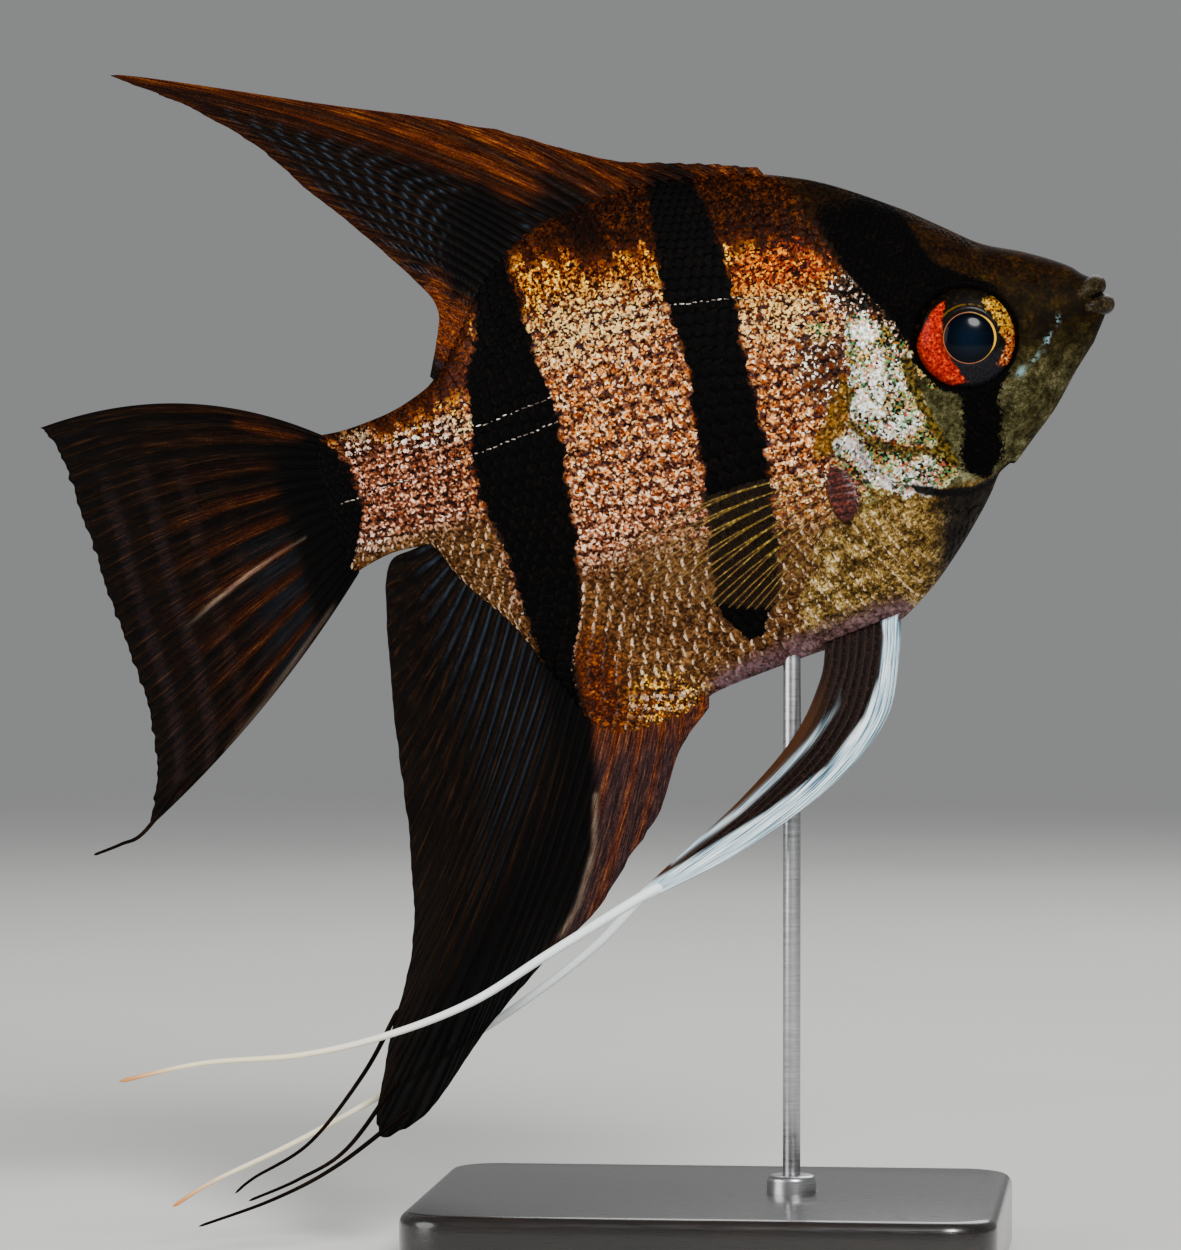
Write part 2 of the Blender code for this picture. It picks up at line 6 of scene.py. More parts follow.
import bpy
import numpy as np
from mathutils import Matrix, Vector


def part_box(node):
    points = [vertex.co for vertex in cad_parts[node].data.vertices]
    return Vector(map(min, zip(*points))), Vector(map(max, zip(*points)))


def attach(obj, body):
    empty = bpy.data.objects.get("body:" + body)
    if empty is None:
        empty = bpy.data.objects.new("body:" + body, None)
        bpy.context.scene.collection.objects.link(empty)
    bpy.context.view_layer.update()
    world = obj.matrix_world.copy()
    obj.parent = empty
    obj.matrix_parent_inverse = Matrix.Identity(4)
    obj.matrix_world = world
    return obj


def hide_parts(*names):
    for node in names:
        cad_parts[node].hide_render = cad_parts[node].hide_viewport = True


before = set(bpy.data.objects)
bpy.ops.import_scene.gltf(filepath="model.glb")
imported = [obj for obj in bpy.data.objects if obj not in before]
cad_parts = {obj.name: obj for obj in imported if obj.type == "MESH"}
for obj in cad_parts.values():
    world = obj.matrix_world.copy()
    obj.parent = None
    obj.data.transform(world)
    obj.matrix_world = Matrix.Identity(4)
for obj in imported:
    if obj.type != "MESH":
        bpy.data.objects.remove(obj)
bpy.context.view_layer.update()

bpy.ops.object.select_all(action="DESELECT")

MM = 0.001
NOSE_UP = math.radians(15.0)
TAIL_ROOT = (-0.0425, 0.0, 0.0857)
CHANCE = np.random.default_rng(12)


def hung(points):
    """Points of the level fish, in millimetres, where the model holds them, in metres."""
    s, y, h = np.moveaxis(np.asarray(points, float), -1, 0)
    along, up = s * math.cos(NOSE_UP) - h * math.sin(NOSE_UP), s * math.sin(NOSE_UP) + h * math.cos(NOSE_UP)
    return np.stack([along * MM + TAIL_ROOT[0], y * MM, up * MM + TAIL_ROOT[2]], axis=-1)


def place_points(mesh, points):
    """Moves a mesh's points to these places of the level fish."""
    mesh.vertices.foreach_set("co", hung(points).astype(np.float32).ravel())
    mesh.update()


def close_mesh(piece, distance=0.004):
    """Merges the doubles on a piece's seams and poles and turns its faces outwards."""
    bpy.ops.object.select_all(action="DESELECT")
    bpy.context.view_layer.objects.active = piece
    piece.select_set(True)
    bpy.ops.object.mode_set(mode="EDIT")
    bpy.ops.mesh.select_all(action="SELECT")
    bpy.ops.mesh.remove_doubles(threshold=distance * MM)
    bpy.ops.mesh.normals_make_consistent(inside=False)
    bpy.ops.object.mode_set(mode="OBJECT")
    bpy.ops.object.shade_smooth()
    piece.select_set(False)


def hand_over(piece, name, finish, slot, *nodes):
    """Names a finished piece, gives it its finish and ties it to the model."""
    piece.name = piece.data.name = name
    piece.data.materials.clear()
    piece.data.materials.append(finish)
    for layer in piece.data.uv_layers:
        layer.name = "OFBake"
    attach(piece, "root")
    if nodes:
        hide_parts(*nodes)
    return piece


# ---- The skin. One closed skin covers head, jaws, gill covers, trunk and tail stalk. It is thin and
# soft, bare on snout, lips, chin and throat and under scales elsewhere, and lies on the flesh with
# the gill covers' plates, the lips and the bones of the cheek showing through.
SNOUT, BODY_END = 90.8, -2.0
BACK = [
    (-2, 8.6), (2, 8.2), (7, 8.6), (12.5, 10.2), (14.5, 11.6), (18, 15.6), (22, 20.6), (26, 23.5),
    (31, 25.6), (40, 26.6), (50, 25.4), (60, 22.1), (70, 15.9), (74, 12.7), (78, 9.5), (82, 7.5),
    (86, 5.0), (88, 3.4), (89.5, 2.5), (90.2, 1.2), (90.8, 0.3),
]
BELLY = [
    (-2, -9.0), (1, -7.6), (5, -6.9), (8.5, -7.1), (11, -12), (15.5, -18.8), (19, -27), (22, -32.8),
    (25, -34.1), (31, -33.6), (36, -31.6), (45, -30.5), (57, -29.4), (62, -26.8), (66, -23.6),
    (70.5, -19.2), (73.2, -16.2), (77.4, -13.0), (81, -10.4), (84.4, -6.9), (88, -3.6), (90, -1.8),
    (90.8, -0.9),
]
WIDEST_AT = [(-2, 0), (20, -2), (40, -3), (60, -4), (74, -0.6), (86, -0.6), (90.8, -0.3)]
HALF_WIDTH = [
    (-2, 0.3), (-0.5, 0.95), (5, 2.0), (10, 2.7), (20, 4.1), (35, 5.9), (50, 6.9), (60, 7.2), (67, 7.0),
    (74, 6.2), (80, 5.1), (85, 3.8), (88.5, 2.7), (90, 1.9), (90.8, 1.0),
]
BACK_SHARPNESS = [(-2, 0.5), (10, 0.6), (25, 0.85), (50, 0.8), (60, 0.7), (74, 0.6), (90, 0.5)]
BELLY_SHARPNESS = [(-2, 0.5), (8, 0.6), (20, 0.85), (34, 0.8), (45, 0.62), (74, 0.65), (90, 0.5)]
COAT_DEPTH = 0.25  # how far the skin under the scales lies inside the flesh solids
RELIEF_DEPTH = 0.05  # how much deeper skin and scales lie, which leaves room for the relief
JAW_END, JAW_SHORTENED = 87.0, 0.68  # the jaws end short, inside the lips
PIT_FLOOR, PIT_EDGE = 3.0, 0.22  # the floor of the eye's pit off the middle, and its reach past the eye
SKIN_ROWS, SKIN_UP = 330, 110


def smooth_curve(points, at):
    """The heights at these places on the smooth curve through the points, without overshoot."""
    x, y = np.array(points, float).T
    rise = np.diff(y) / np.diff(x)
    slope = np.concatenate((rise[:1], np.zeros(len(x) - 2), rise[-1:]))
    same = rise[:-1] * rise[1:] > 0
    slope[1:-1][same] = (2 * rise[:-1] * rise[1:])[same] / (rise[:-1] + rise[1:])[same]
    at = np.clip(at, x[0], x[-1])
    i = np.clip(np.searchsorted(x, at, side="right") - 1, 0, len(x) - 2)
    span = x[i + 1] - x[i]
    t = (at - x[i]) / span
    return (
        y[i] * (1 + 2 * t) * (1 - t) ** 2
        + slope[i] * span * t * (1 - t) ** 2
        + y[i + 1] * t * t * (3 - 2 * t)
        - slope[i + 1] * span * t * t * (1 - t)
    )


def section(s, v):
    """Half width and height on the body at place s: v is 1 on the back and -1 on the belly."""
    middle = smooth_curve(WIDEST_AT, s)
    edge = np.where(v > 0, smooth_curve(BACK, s), smooth_curve(BELLY, s))
    sharp = np.where(v > 0, smooth_curve(BACK_SHARPNESS, s), smooth_curve(BELLY_SHARPNESS, s))
    return smooth_curve(HALF_WIDTH, s) * np.maximum(0, 1 - v * v) ** sharp, middle + np.abs(v) * (edge - middle)


# The girth table: for each station, how far round the flank from its widest line every v lies.
STATION = np.linspace(BODY_END, SNOUT, 465)
TURN = np.sin(np.linspace(-math.pi / 2, math.pi / 2, 241))
GIRTH_LOW, GIRTH_HIGH = -48.0, 42.0
GIRTH = np.arange(GIRTH_LOW, GIRTH_HIGH, 0.2)
half_width, height = section(STATION[:, None], TURN[None, :])
round_flank = np.hypot(np.diff(half_width, axis=1), np.diff(height, axis=1)).cumsum(axis=1)
round_flank = np.hstack([np.zeros((len(STATION), 1)), round_flank])
round_flank -= round_flank[:, len(TURN) // 2, None]
TURN_AT = np.array([np.interp(GIRTH, row, TURN) for row in round_flank])
LOWEST, HIGHEST = round_flank[:, 0], round_flank[:, -1]


def on_body(s, q, side):
    """Points on the body q millimetres round the flank from its widest line, up being positive."""
    lowest, highest = np.interp(s, STATION, LOWEST), np.interp(s, STATION, HIGHEST)
    over = (q > highest) | (q < lowest)
    q = np.where(q > highest, 2 * highest - q, np.where(q < lowest, 2 * lowest - q, q))
    k = np.clip((s - STATION[0]) / (STATION[1] - STATION[0]), 0, len(STATION) - 1.001)
    n = np.clip((q - GIRTH[0]) / (GIRTH[1] - GIRTH[0]), 0, len(GIRTH) - 1.001)
    k0, n0 = k.astype(int), n.astype(int)
    further, higher = k - k0, n - n0
    v = (TURN_AT[k0, n0] * (1 - further) + TURN_AT[k0 + 1, n0] * further) * (1 - higher)
    v = v + (TURN_AT[k0, n0 + 1] * (1 - further) + TURN_AT[k0 + 1, n0 + 1] * further) * higher
    y, h = section(s, v)
    return np.stack([s, np.where(over, -side, side) * y, h], axis=-1)


def outward(s, q, side):
    """The outward normals at these places."""
    step = 0.15
    ahead = on_body(s + step, q, side) - on_body(s - step, q, side)
    up = on_body(s, q + step, side) - on_body(s, q - step, side)
    normal = np.cross(ahead, up) * -np.reshape(side, (-1, 1))
    return normal / np.maximum(np.linalg.norm(normal, axis=-1, keepdims=True), 1e-9)


def ramp(x, low, high):
    """0 below low and 1 above high, with a smooth step between them."""
    t = np.clip((x - low) / (high - low), 0, 1)
    return t * t * (3 - 2 * t)


def from_line(p, h, line):
    """The distance from these places to a line of points, and which side of it they lie on."""
    best = np.full(np.shape(p), 1e9)
    left = np.zeros(np.shape(p))
    for (x0, y0), (x1, y1) in zip(line, line[1:]):
        dx, dy = x1 - x0, y1 - y0
        t = np.clip(((p - x0) * dx + (h - y0) * dy) / (dx * dx + dy * dy), 0, 1)
        away = np.hypot(p - x0 - t * dx, h - y0 - t * dy)
        nearer = away < best
        left = np.where(nearer, dx * (h - y0) - dy * (p - x0), left)
        best = np.minimum(best, away)
    return best, np.sign(left)


def inside(p, h, outline, soft):
    """1 inside an outline and 0 outside, with an edge this soft."""
    within = np.zeros(np.shape(p), bool)
    for (x0, y0), (x1, y1) in zip(outline, outline[1:] + outline[:1]):
        if y0 != y1:
            crossing = x0 + (h - y0) * (x1 - x0) / (y1 - y0)
            within ^= ((y0 > h) != (y1 > h)) & (p < crossing)
    away = from_line(p, h, outline + outline[:1])[0]
    return ramp(np.where(within, away, -away), -soft, soft)


def spot(p, h, place, radii, soft=0.35):
    """1 inside an oval and 0 outside, with an edge this soft as a share of its size."""
    return ramp(1 - np.hypot((p - place[0]) / radii[0], (h - place[1]) / radii[1]), -soft, soft)


def spots(p, h, *ovals):
    """The strongest of several oval spots, each given by strength, place, radii and softness."""
    return strongest(*(strength * spot(p, h, place, radii, soft) for strength, place, radii, soft in ovals))


def strongest(*marks):
    return np.maximum.reduce(np.broadcast_arrays(*marks))


def ridge(p, h, line, width):
    """1 on a line of points, falling off to both sides over this width."""
    return np.exp(-((from_line(p, h, line)[0] / width) ** 2))


# Lines of the head as seen from the side. The flank's curve carries a mark on it a little forward
# and away from the middle of the view, so marks are placed by p and h as they are seen.
LEAN = 0.105
SIGHT, SIGHT_AWAY = (24.0, -20.5), 700.0
ORBIT, ORBIT_RADIUS = (73.25, -0.2), 5.95
NOSTRIL, PORES = (82.4, 4.2), ((75.3, 7.3), (70.8, 6.5), (68.7, 5.1), (83.8, 3.3), (84.8, -4.1), (81.2, 6.6))
GILL_EDGE = [
    (61.6, 7.0), (60.6, 5.6), (59.8, 3.6), (59.3, 1.2), (59.0, -1.0), (58.5, -3.2), (58.3, -5.2), (58.6, -7.4),
    (58.3, -9.6), (58.8, -11.6), (60.2, -13.3), (62.0, -14.5), (64.0, -15.4), (66.5, -16.5),
    (69.5, -17.0), (72.0, -16.6), (74.5, -15.2),
]
CHEEK_EDGE = [
    (66.6, 4.6), (66.0, 2.0), (66.0, -1.0), (66.3, -4.0), (66.7, -7.0), (67.5, -10.0), (68.6, -12.6),
    (69.2, -14.4),
]
PLATE_SEAM = [(58.6, -6.4), (59.8, -8.2), (61.4, -9.6), (63.4, -10.6), (65.6, -11.2), (67.6, -11.6)]
JAW_LINE = [(87.4, -0.6), (86.6, -1.9), (85.4, -3.1), (84.0, -4.4), (82.2, -6.2), (80.4, -8.4)]
CHIN_FOLD = [(86.2, -4.4), (84.0, -5.6), (81.4, -8.0), (78.0, -10.9), (74.4, -13.6), (70.0, -15.0)]


def relief(p, h, gill=True):
    """How far the skin stands out from, or sinks into, the plain body."""
    out = np.zeros(np.shape(p))
    head = ramp(p, 57.0, 59.0)
    if gill:
        away, left = from_line(p, h, GILL_EDGE)
        plate = np.where(left > 0, np.minimum(away, 9), 0)
        out += 0.55 * ramp(plate, 0, 0.45) * np.exp(-((plate / 6.0) ** 2)) * ramp(8.0 - h, -1.0, 2.5)
        out -= 0.25 * np.exp(-((away / 0.5) ** 2)) * (left <= 0) * ramp(8.0 - h, 0, 2)
    out -= head * 0.22 * ridge(p, h, CHEEK_EDGE, 0.55)
    out += head * 0.14 * ridge(p, h, [(x - 1.1, y) for x, y in CHEEK_EDGE], 0.7)
    out -= head * 0.12 * ridge(p, h, PLATE_SEAM, 0.35)
    out -= 0.10 * ridge(p, h, CHIN_FOLD, 0.45)
    out -= 0.16 * ridge(p, h, JAW_LINE, 0.35)
    out -= 0.35 * spot(p, h, NOSTRIL, (0.42, 0.30), 0.5)
    out += 0.06 * spot(p, h, NOSTRIL, (0.9, 0.7), 0.5)
    for place in PORES:
        out -= 0.12 * spot(p, h, place, (0.3, 0.25), 0.6)
    from_eye = np.hypot(p - ORBIT[0], h - ORBIT[1])
    out += 0.22 * np.exp(-(((from_eye - ORBIT_RADIUS - 0.5) / 0.7) ** 2))
    return out


def marks_place(points):
    """Where on the side view, by p and h, these points of the body are seen."""
    width, nearer = np.abs(points[..., 1]), np.abs(points[..., 1]) / SIGHT_AWAY
    return (
        points[..., 0] - LEAN * width + nearer * (points[..., 0] - SIGHT[0]),
        points[..., 2] + nearer * (points[..., 2] - SIGHT[1]),
    )


# The dark bars, each with its rear and its front edge, as places along the body at heights.
BAR_SOFT = 0.9
BARS = {
    "eye": (
        [(-16, 71.5), (-14.6, 69.6), (-13.2, 69.3), (-11, 70.2), (-8.5, 70.9), (-6.3, 70.9), (-3, 69.0),
         (2, 66.6), (5, 65.6), (7, 64.2), (10, 62.6), (15, 61.2), (20, 60.0), (23, 59.0)],
        [(-16, 71.6), (-14.6, 73.0), (-13.6, 73.9), (-11.5, 74.2), (-9.5, 75.2), (-8, 75.0), (-6.5, 75.9),
         (-4, 76.5), (2, 79.0), (5, 77.5), (7, 74.5), (10, 71.5), (15, 70.0), (23, 64.0)],
    ),
    "middle": (
        [(-27, 41.8), (-26, 40.6), (-23, 38.6), (-20, 38.8), (-15, 39.7), (-10, 40.5), (-5, 41.2), (0, 41.6),
         (5, 42.4), (10, 42.0), (15, 41.8), (20, 42.4), (25, 43.0), (29, 43.4)],
        [(-27, 42.0), (-26, 43.0), (-23, 45.0), (-20, 46.2), (-15, 47.0), (-10, 47.8), (-5, 48.4), (0, 48.6),
         (5, 48.7), (10, 49.2), (15, 49.3), (20, 49.0), (25, 48.0), (29, 47.4)],
    ),
    "rear": (
        [(-36, 18.5), (-30, 18.0), (-25, 17.6), (-20, 17.1), (-15, 17.0), (-10, 16.9), (-5, 15.9), (0, 15.8),
         (5, 16.8), (10, 17.6), (15, 19.8), (20, 20.6), (30, 20.0)],
        [(-36, 20.0), (-30, 20.4), (-25, 21.0), (-20, 22.5), (-15, 24.0), (-10, 25.0), (-5, 25.4), (0, 26.2),
         (5, 26.3), (10, 25.8), (15, 25.5), (20, 25.3), (30, 25.8)],
    ),
    "tail": (
        [(-10, -6.5), (10, -6.5)],
        [(-10, -1.6), (-8, -1.0), (-6, 0.2), (-4, 1.0), (-2, 1.9), (0, 2.2), (3, 1.9), (5, 1.3), (8, -0.5),
         (10, -1.4)],
    ),
    "half": (
        [(14, 34.8), (17, 34.2), (20, 33.2), (24, 32.2), (27, 31.0)],
        [(14, 35.0), (17, 35.8), (20, 36.8), (24, 36.6), (27, 36.2)],
    ),
}


def bar_at(p, h, name):
    """1 inside a dark bar and 0 outside."""
    rear, front = BARS[name]
    behind, before = p - smooth_curve(rear, h), smooth_curve(front, h) - p
    return ramp(behind, -BAR_SOFT, BAR_SOFT) * ramp(before, -BAR_SOFT, BAR_SOFT)


GOLD_FROM = [
    (12, 6.5), (20, 11), (26, 14.5), (36, 15.5), (42, 14.5), (48, 12.0), (52, 10.0), (58, 8.0), (66, 6),
]
BACK_FROM = [
    (8, 8.2), (14, 10.5), (20, 18.5), (26, 23.5), (31, 22.5), (36, 20.5), (42, 20.5), (50, 18.5),
    (56, 16.5), (62, 12.5), (66, 8.0), (70, 6.4), (76, 6.6), (80, 5.6), (84, 4.6), (88, 3.2),
]
OLIVE_FROM = [
    (-34, 48), (-26, 48), (-20, 51), (-16, 54), (-13, 60), (-12, 68), (-8, 68), (-4, 68), (6, 68), (12, 66),
]
GILL_PLATE = [
    (60.3, 4.2), (61.3, 5.8), (62.6, 6.0), (63.8, 4.6), (65.2, 3.0), (65.9, 0.8), (66.2, -1.5), (66.3, -4.0),
    (66.8, -6.5), (67.4, -9.3), (66.9, -11.4), (65.4, -10.4), (63.5, -9.8), (61.3, -8.6), (59.6, -7.2),
    (58.6, -5.4), (58.7, -3.6), (59.3, -1.8), (59.9, 0.0), (60.0, 2.0),
]
LOWER_PLATE = [
    (58.4, -7.0), (61.4, -9.2), (63.6, -10.4), (66.0, -11.6), (67.6, -11.8), (68.6, -14.6), (66.2, -16.0),
    (63.6, -15.6), (60.8, -13.8), (58.8, -11.6), (57.6, -9.0),
]
GILL_FOLD = [(56.6, -8.2), (58.2, -9.2), (59.0, -11.6), (60.6, -13.6), (62.8, -15.0), (64.8, -15.7)]
CHEEK_GROOVE = [(66.0, -0.8), (66.2, -4.0), (66.9, -7.0), (67.6, -10.0), (68.4, -13.2)]
CHEEK_GLINTS = [
    [(66.4, 4.0), (66.9, 3.0)], [(65.9, 1.6), (66.6, -0.2)], [(66.5, -1.0), (67.3, -3.2)],
    [(66.5, -4.6), (67.0, -6.0)], [(67.8, -4.3), (68.1, -4.6)],
]
PLATE_CORNER = [(59.5, -2.4), (58.4, -4.4), (58.5, -6.0), (59.6, -7.6)]
BELLY_SEAM = [(37.0, -31.4), (45.0, -29.8), (52.0, -28.9), (58.0, -28.2)]
GOLD_STRIP = [
    (53.6, -9.6), (55.6, -8.6), (57.3, -6.9), (58.3, -5.0), (59.7, -1.4), (58.8, -0.8), (57.0, -3.0),
    (55.4, -5.2), (53.6, -7.4),
]
# A broken line of painted silver glints along the jaw.
JAW_GLINT_LINE = [(84.0, -0.6), (83.0, -1.9), (82.0, -3.0), (80.7, -4.2), (79.2, -5.1), (77.4, -5.9)]


def markings(p, h):
    """How strongly each colour of the hide shows at these places."""
    wave = 0.5 * np.sin(0.9 * p + 0.7 * h) + 0.5 * np.sin(1.7 * h - 0.6 * p + 1.0)
    teeth = 0.9 * np.sin(2.3 * p + 0.6 * h) + 0.6 * np.sin(4.1 * p + 1.0)
    half = bar_at(p, h, "half") * ramp(h, 15.5, 23.0)
    bars = strongest(*(bar_at(p, h, name) for name in ("eye", "middle", "rear", "tail")))
    bars *= 1 - 0.6 * ramp(p, 56.0, 59.0) * ramp(h, 14.5, 19.5)
    bars = strongest(bars, half * 0.45) * (1 - spot(p, h, ORBIT, (6.2, 6.2), 0.05))
    fold = ridge(p, h, GILL_FOLD, 1.15) * 0.8
    glints = strongest(*(ridge(p, h, line, 0.3) for line in CHEEK_GLINTS))
    crest = ramp(-13.0 - h - 0.12 * np.abs(p - 32), -2.0, 3.0) * ramp(66.0 - p, 0, 8.0)
    silver_plates = strongest(inside(p, h, GILL_PLATE, 0.5), 0.95 * inside(p, h, LOWER_PLATE, 0.5))
    streak = ridge(p, h, JAW_GLINT_LINE, 0.30 + 0.14 * np.sin(2.1 * p)) * ramp(84.4 - p, 0, 0.6)
    # The throat, curving away under the head, is painted dark: painted shade.
    bluish = ramp(p - 66.0 + 0.3 * (-16.5 - h), -1.5, 1.8) * ramp(-h, 16.2, 17.4)
    return {
        "bars": bars,
        "gold": strongest(
            ramp(h + 0.5 * wave + teeth - smooth_curve(GOLD_FROM, p), -2.6, 2.6),
            spots(p, h, (0.9, (54.5, 12.5), (6.5, 3.6), 0.5), (0.62, (28.6, -31.2), (5.0, 2.6), 0.9)),
        ),
        "back": strongest(
            ramp(h + 0.4 * wave + 0.8 * teeth - smooth_curve(BACK_FROM, p), -3.2, 1.4), half * 0.95
        ),
        "olive": ramp(p + 0.4 * wave - smooth_curve(OLIVE_FROM, h), -3.0, 2.0),
        "face": ramp(p + 0.35 * np.maximum(h + 2, 0), 65.4, 67.6) * ramp(h, -17.2, -14.5),
        "low": ramp(-h, 0.5, 8.0) * (1 - 0.35 * ramp(p, 73, 79)),
        # The gill's pale fold, and the bright middles of the silver plates, which are painted reflection.
        "gleam": strongest(fold, spots(
            p, h, (0.9, (61.9, 4.2), (2.0, 2.6), 0.8), (0.9, (60.3, -4.4), (2.6, 3.8), 0.8),
            (0.9, (62.2, -7.8), (3.4, 1.6), 0.8), (0.9, (64.0, -13.2), (2.4, 1.2), 0.8),
            (0.9, (64.0, -1.0), (1.6, 3.0), 0.8),
        )),
        "fold": fold,
        # Darker olive lines in the grooves and seams of the gill cover and cheek, painted shade.
        "seam": strongest(
            ridge(p, h, PLATE_SEAM, 0.5), ridge(p, h, CHEEK_GROOVE, 0.5), ridge(p, h, PLATE_CORNER, 0.22)
        ),
        "crest": strongest(crest, ramp(17.5 - p, 0, 2.0) * ramp(-4.0 - h, 0, 3.0)),
        "silver": strongest(
            silver_plates, ramp(fold, 0.2, 0.75) * 0.9, ramp(glints, 0.3, 0.8),
            spots(p, h, (0.9, (57.8, 5.0), (1.3, 0.9), 0.5), (0.75, (58.2, -10.6), (2.9, 4.6), 0.9)),
        ),
        "stalk": ramp(16.5 - p, -1.0, 3.0),
        "amber": spot(p, h, (55.6, 13.0), (5.6, 2.8), 0.7),
        "dusk": spots(
            p, h, (1, (63.5, 8.0), (3.6, 2.6), 0.6), (1, (66.0, 3.0), (1.8, 5.0), 0.5),
            (0.55, (57.0, 1.0), (3.4, 6.5), 0.6),
        ),
        "pink": strongest(
            ramp(-h, -2.0, 18.0) * ramp(50.0 - p, 0, 8.0), ramp(16.0 - p, -2.0, 5.0) * ramp(8.5 - h, 0, 3)
        ),
        # Pale silvery patches of the scales, brightened into painted highlights.
        "shine": spots(
            p, h, (0.9, (32.0, 12.6), (8.0, 3.2), 0.8), (0.8, (53.0, 8.0), (4.4, 2.8), 0.7),
            (0.9, (57.6, 5.0), (2.0, 1.2), 0.6), (1, (12.4, 5.1), (4.8, 1.6), 0.4),
            (0.9, (3.4, 6.2), (2.0, 1.6), 0.5), (0.6, (2.2, -5.0), (2.0, 1.4), 0.5),
            (0.5, (29.5, -31.0), (3.6, 1.3), 0.6),
        ),
        "orange": spots(p, h, (0.85, (22.8, -29.0), (3.6, 8.0), 0.9), (0.9, (15.5, 11.5), (5.0, 3.0), 0.6)),
        "mauve": ramp(1.9 - from_line(p, h, BELLY_SEAM)[0], -1.0, 1.0),
        "streak": streak * (0.55 + 0.45 * np.sin(3.3 * p + 0.6)),
        "bluish": bluish * ramp(78.0 - p, 0, 2.0),
        # Painted shade in a dark line under the lower edge of the gill cover.
        "dark_line": ridge(p, h, GILL_EDGE[11:], 0.55) * ramp(p, 61, 64),
        "strip": inside(p, h, GOLD_STRIP, 0.4),
    }


def paint(mesh, values):
    """Stores each value of a set on the mesh's points."""
    for name, value in values.items():
        layer = mesh.attributes.new(name, "FLOAT", "POINT")
        layer.data.foreach_set("value", np.asarray(value, np.float32).ravel())


def rolled_grid(around, along):
    """A grid rolled up into a tube. Gives the piece, and each point's share round and along it."""
    bpy.ops.mesh.primitive_grid_add(x_subdivisions=around, y_subdivisions=along, size=1)
    piece = bpy.context.object
    flat = np.empty(len(piece.data.vertices) * 3, np.float32)
    piece.data.vertices.foreach_get("co", flat)
    flat = flat.reshape(-1, 3)
    return piece, np.rint((flat[:, 0] + 0.5) * around) / around, np.rint((flat[:, 1] + 0.5) * along) / along


def closed_sheet(across, along):
    """A sheet with two faces. Gives the piece, and each point's face and shares across and along."""
    piece, around, u = rolled_grid(2 * across, along)
    return piece, np.where(around <= 0.5, -1.0, 1.0), 1 - np.abs(2 * around - 1), u


def make_skin():
    share = np.linspace(0, 1, SKIN_ROWS + 1)
    stations = BODY_END + (SNOUT - BODY_END) * (1 - (1 - share) ** 1.35)
    skin, side, climb, along = closed_sheet(SKIN_UP, SKIN_ROWS)
    row = np.rint(along * SKIN_ROWS).astype(int)
    s = stations[row]
    low, high = np.interp(s, STATION, LOWEST), np.interp(s, STATION, HIGHEST)
    q = np.minimum(low + (high - low) * climb, high)
    points = on_body(s, q, side)
    p, h = marks_place(points)
    normal = outward(np.clip(s, BODY_END + 0.2, SNOUT - 0.2), q, side)
    sunk = COAT_DEPTH * ramp(79.5 - p, 0, 3.0) * (0.25 + 0.75 * ramp(np.minimum(high - q, q - low), 0.1, 1.3))
    points += normal * (relief(p, h) - sunk - RELIEF_DEPTH)[:, None]
    # The orbit is a round pit for the eye.
    pit = ramp(ORBIT_RADIUS + PIT_EDGE - np.hypot(p - ORBIT[0], h - ORBIT[1]), 0, 0.55)
    points[:, 1] = points[:, 1] * (1 - pit) + side * PIT_FLOOR * pit
    for end in (0, SKIN_ROWS):
        ring = row == end
        points[ring] = points[ring].mean(axis=0)
    past = np.maximum(points[:, 0] - JAW_END, 0)
    points[:, 0] -= past * (1 - JAW_SHORTENED)
    place_points(skin.data, points)
    tone = markings(p, h)
    # The tip of the snout, seen in the gap between the lips, is painted dark as the shade inside the mouth.
    tone["bars"] = strongest(tone["bars"], spot(p, h, (90.2, 0.5), (1.8, 0.8), 0.5))
    paint(skin.data, tone | {"rim": 0 * p, "heart": 0 * p})
    close_mesh(skin, 0.003)
    return skin


class Socket:
    """An output of a material's node. Arithmetic on it adds Math nodes."""

    def __init__(self, output):
        self.output = output

    def maths(self, operation, *values):
        node = self.output.id_data.nodes.new("ShaderNodeMath")
        node.operation = operation
        for place, value in zip(node.inputs, values):
            feed(place, value)
        return Socket(node.outputs[0])

    def __add__(self, other):
        return self.maths("ADD", self, other)

    def __sub__(self, other):
        return self.maths("SUBTRACT", self, other)

    def __rsub__(self, other):
        return self.maths("SUBTRACT", other, self)

    def __mul__(self, other):
        return self.maths("MULTIPLY", self, other)

    def __truediv__(self, other):
        return self.maths("DIVIDE", self, other)

    def __pow__(self, other):
        return self.maths("POWER", self, other)

    __radd__, __rmul__ = __add__, __mul__

    def between(self, low, high):
        """0 below low and 1 above high, with a smooth step between them."""
        node = self.output.id_data.nodes.new("ShaderNodeMapRange")
        node.interpolation_type = "SMOOTHSTEP"
        for name, value in (("Value", self), ("From Min", low), ("From Max", high)):
            feed(node.inputs[name], value)
        return Socket(node.outputs[0])


def feed(place, value):
    """Links a socket to an input, or sets the input to a number, a colour or a vector."""
    if isinstance(value, Socket):
        place.id_data.links.new(value.output, place)
    else:
        place.default_value = value


def tint(red, green, blue):
    """A colour given in the usual 0 to 255 steps, as the linear light that a shader takes."""
    shares = (red / 255, green / 255, blue / 255)
    return tuple(((c + 0.055) / 1.055) ** 2.4 if c > 10 / 255 else c / 12.92 for c in shares) + (1.0,)


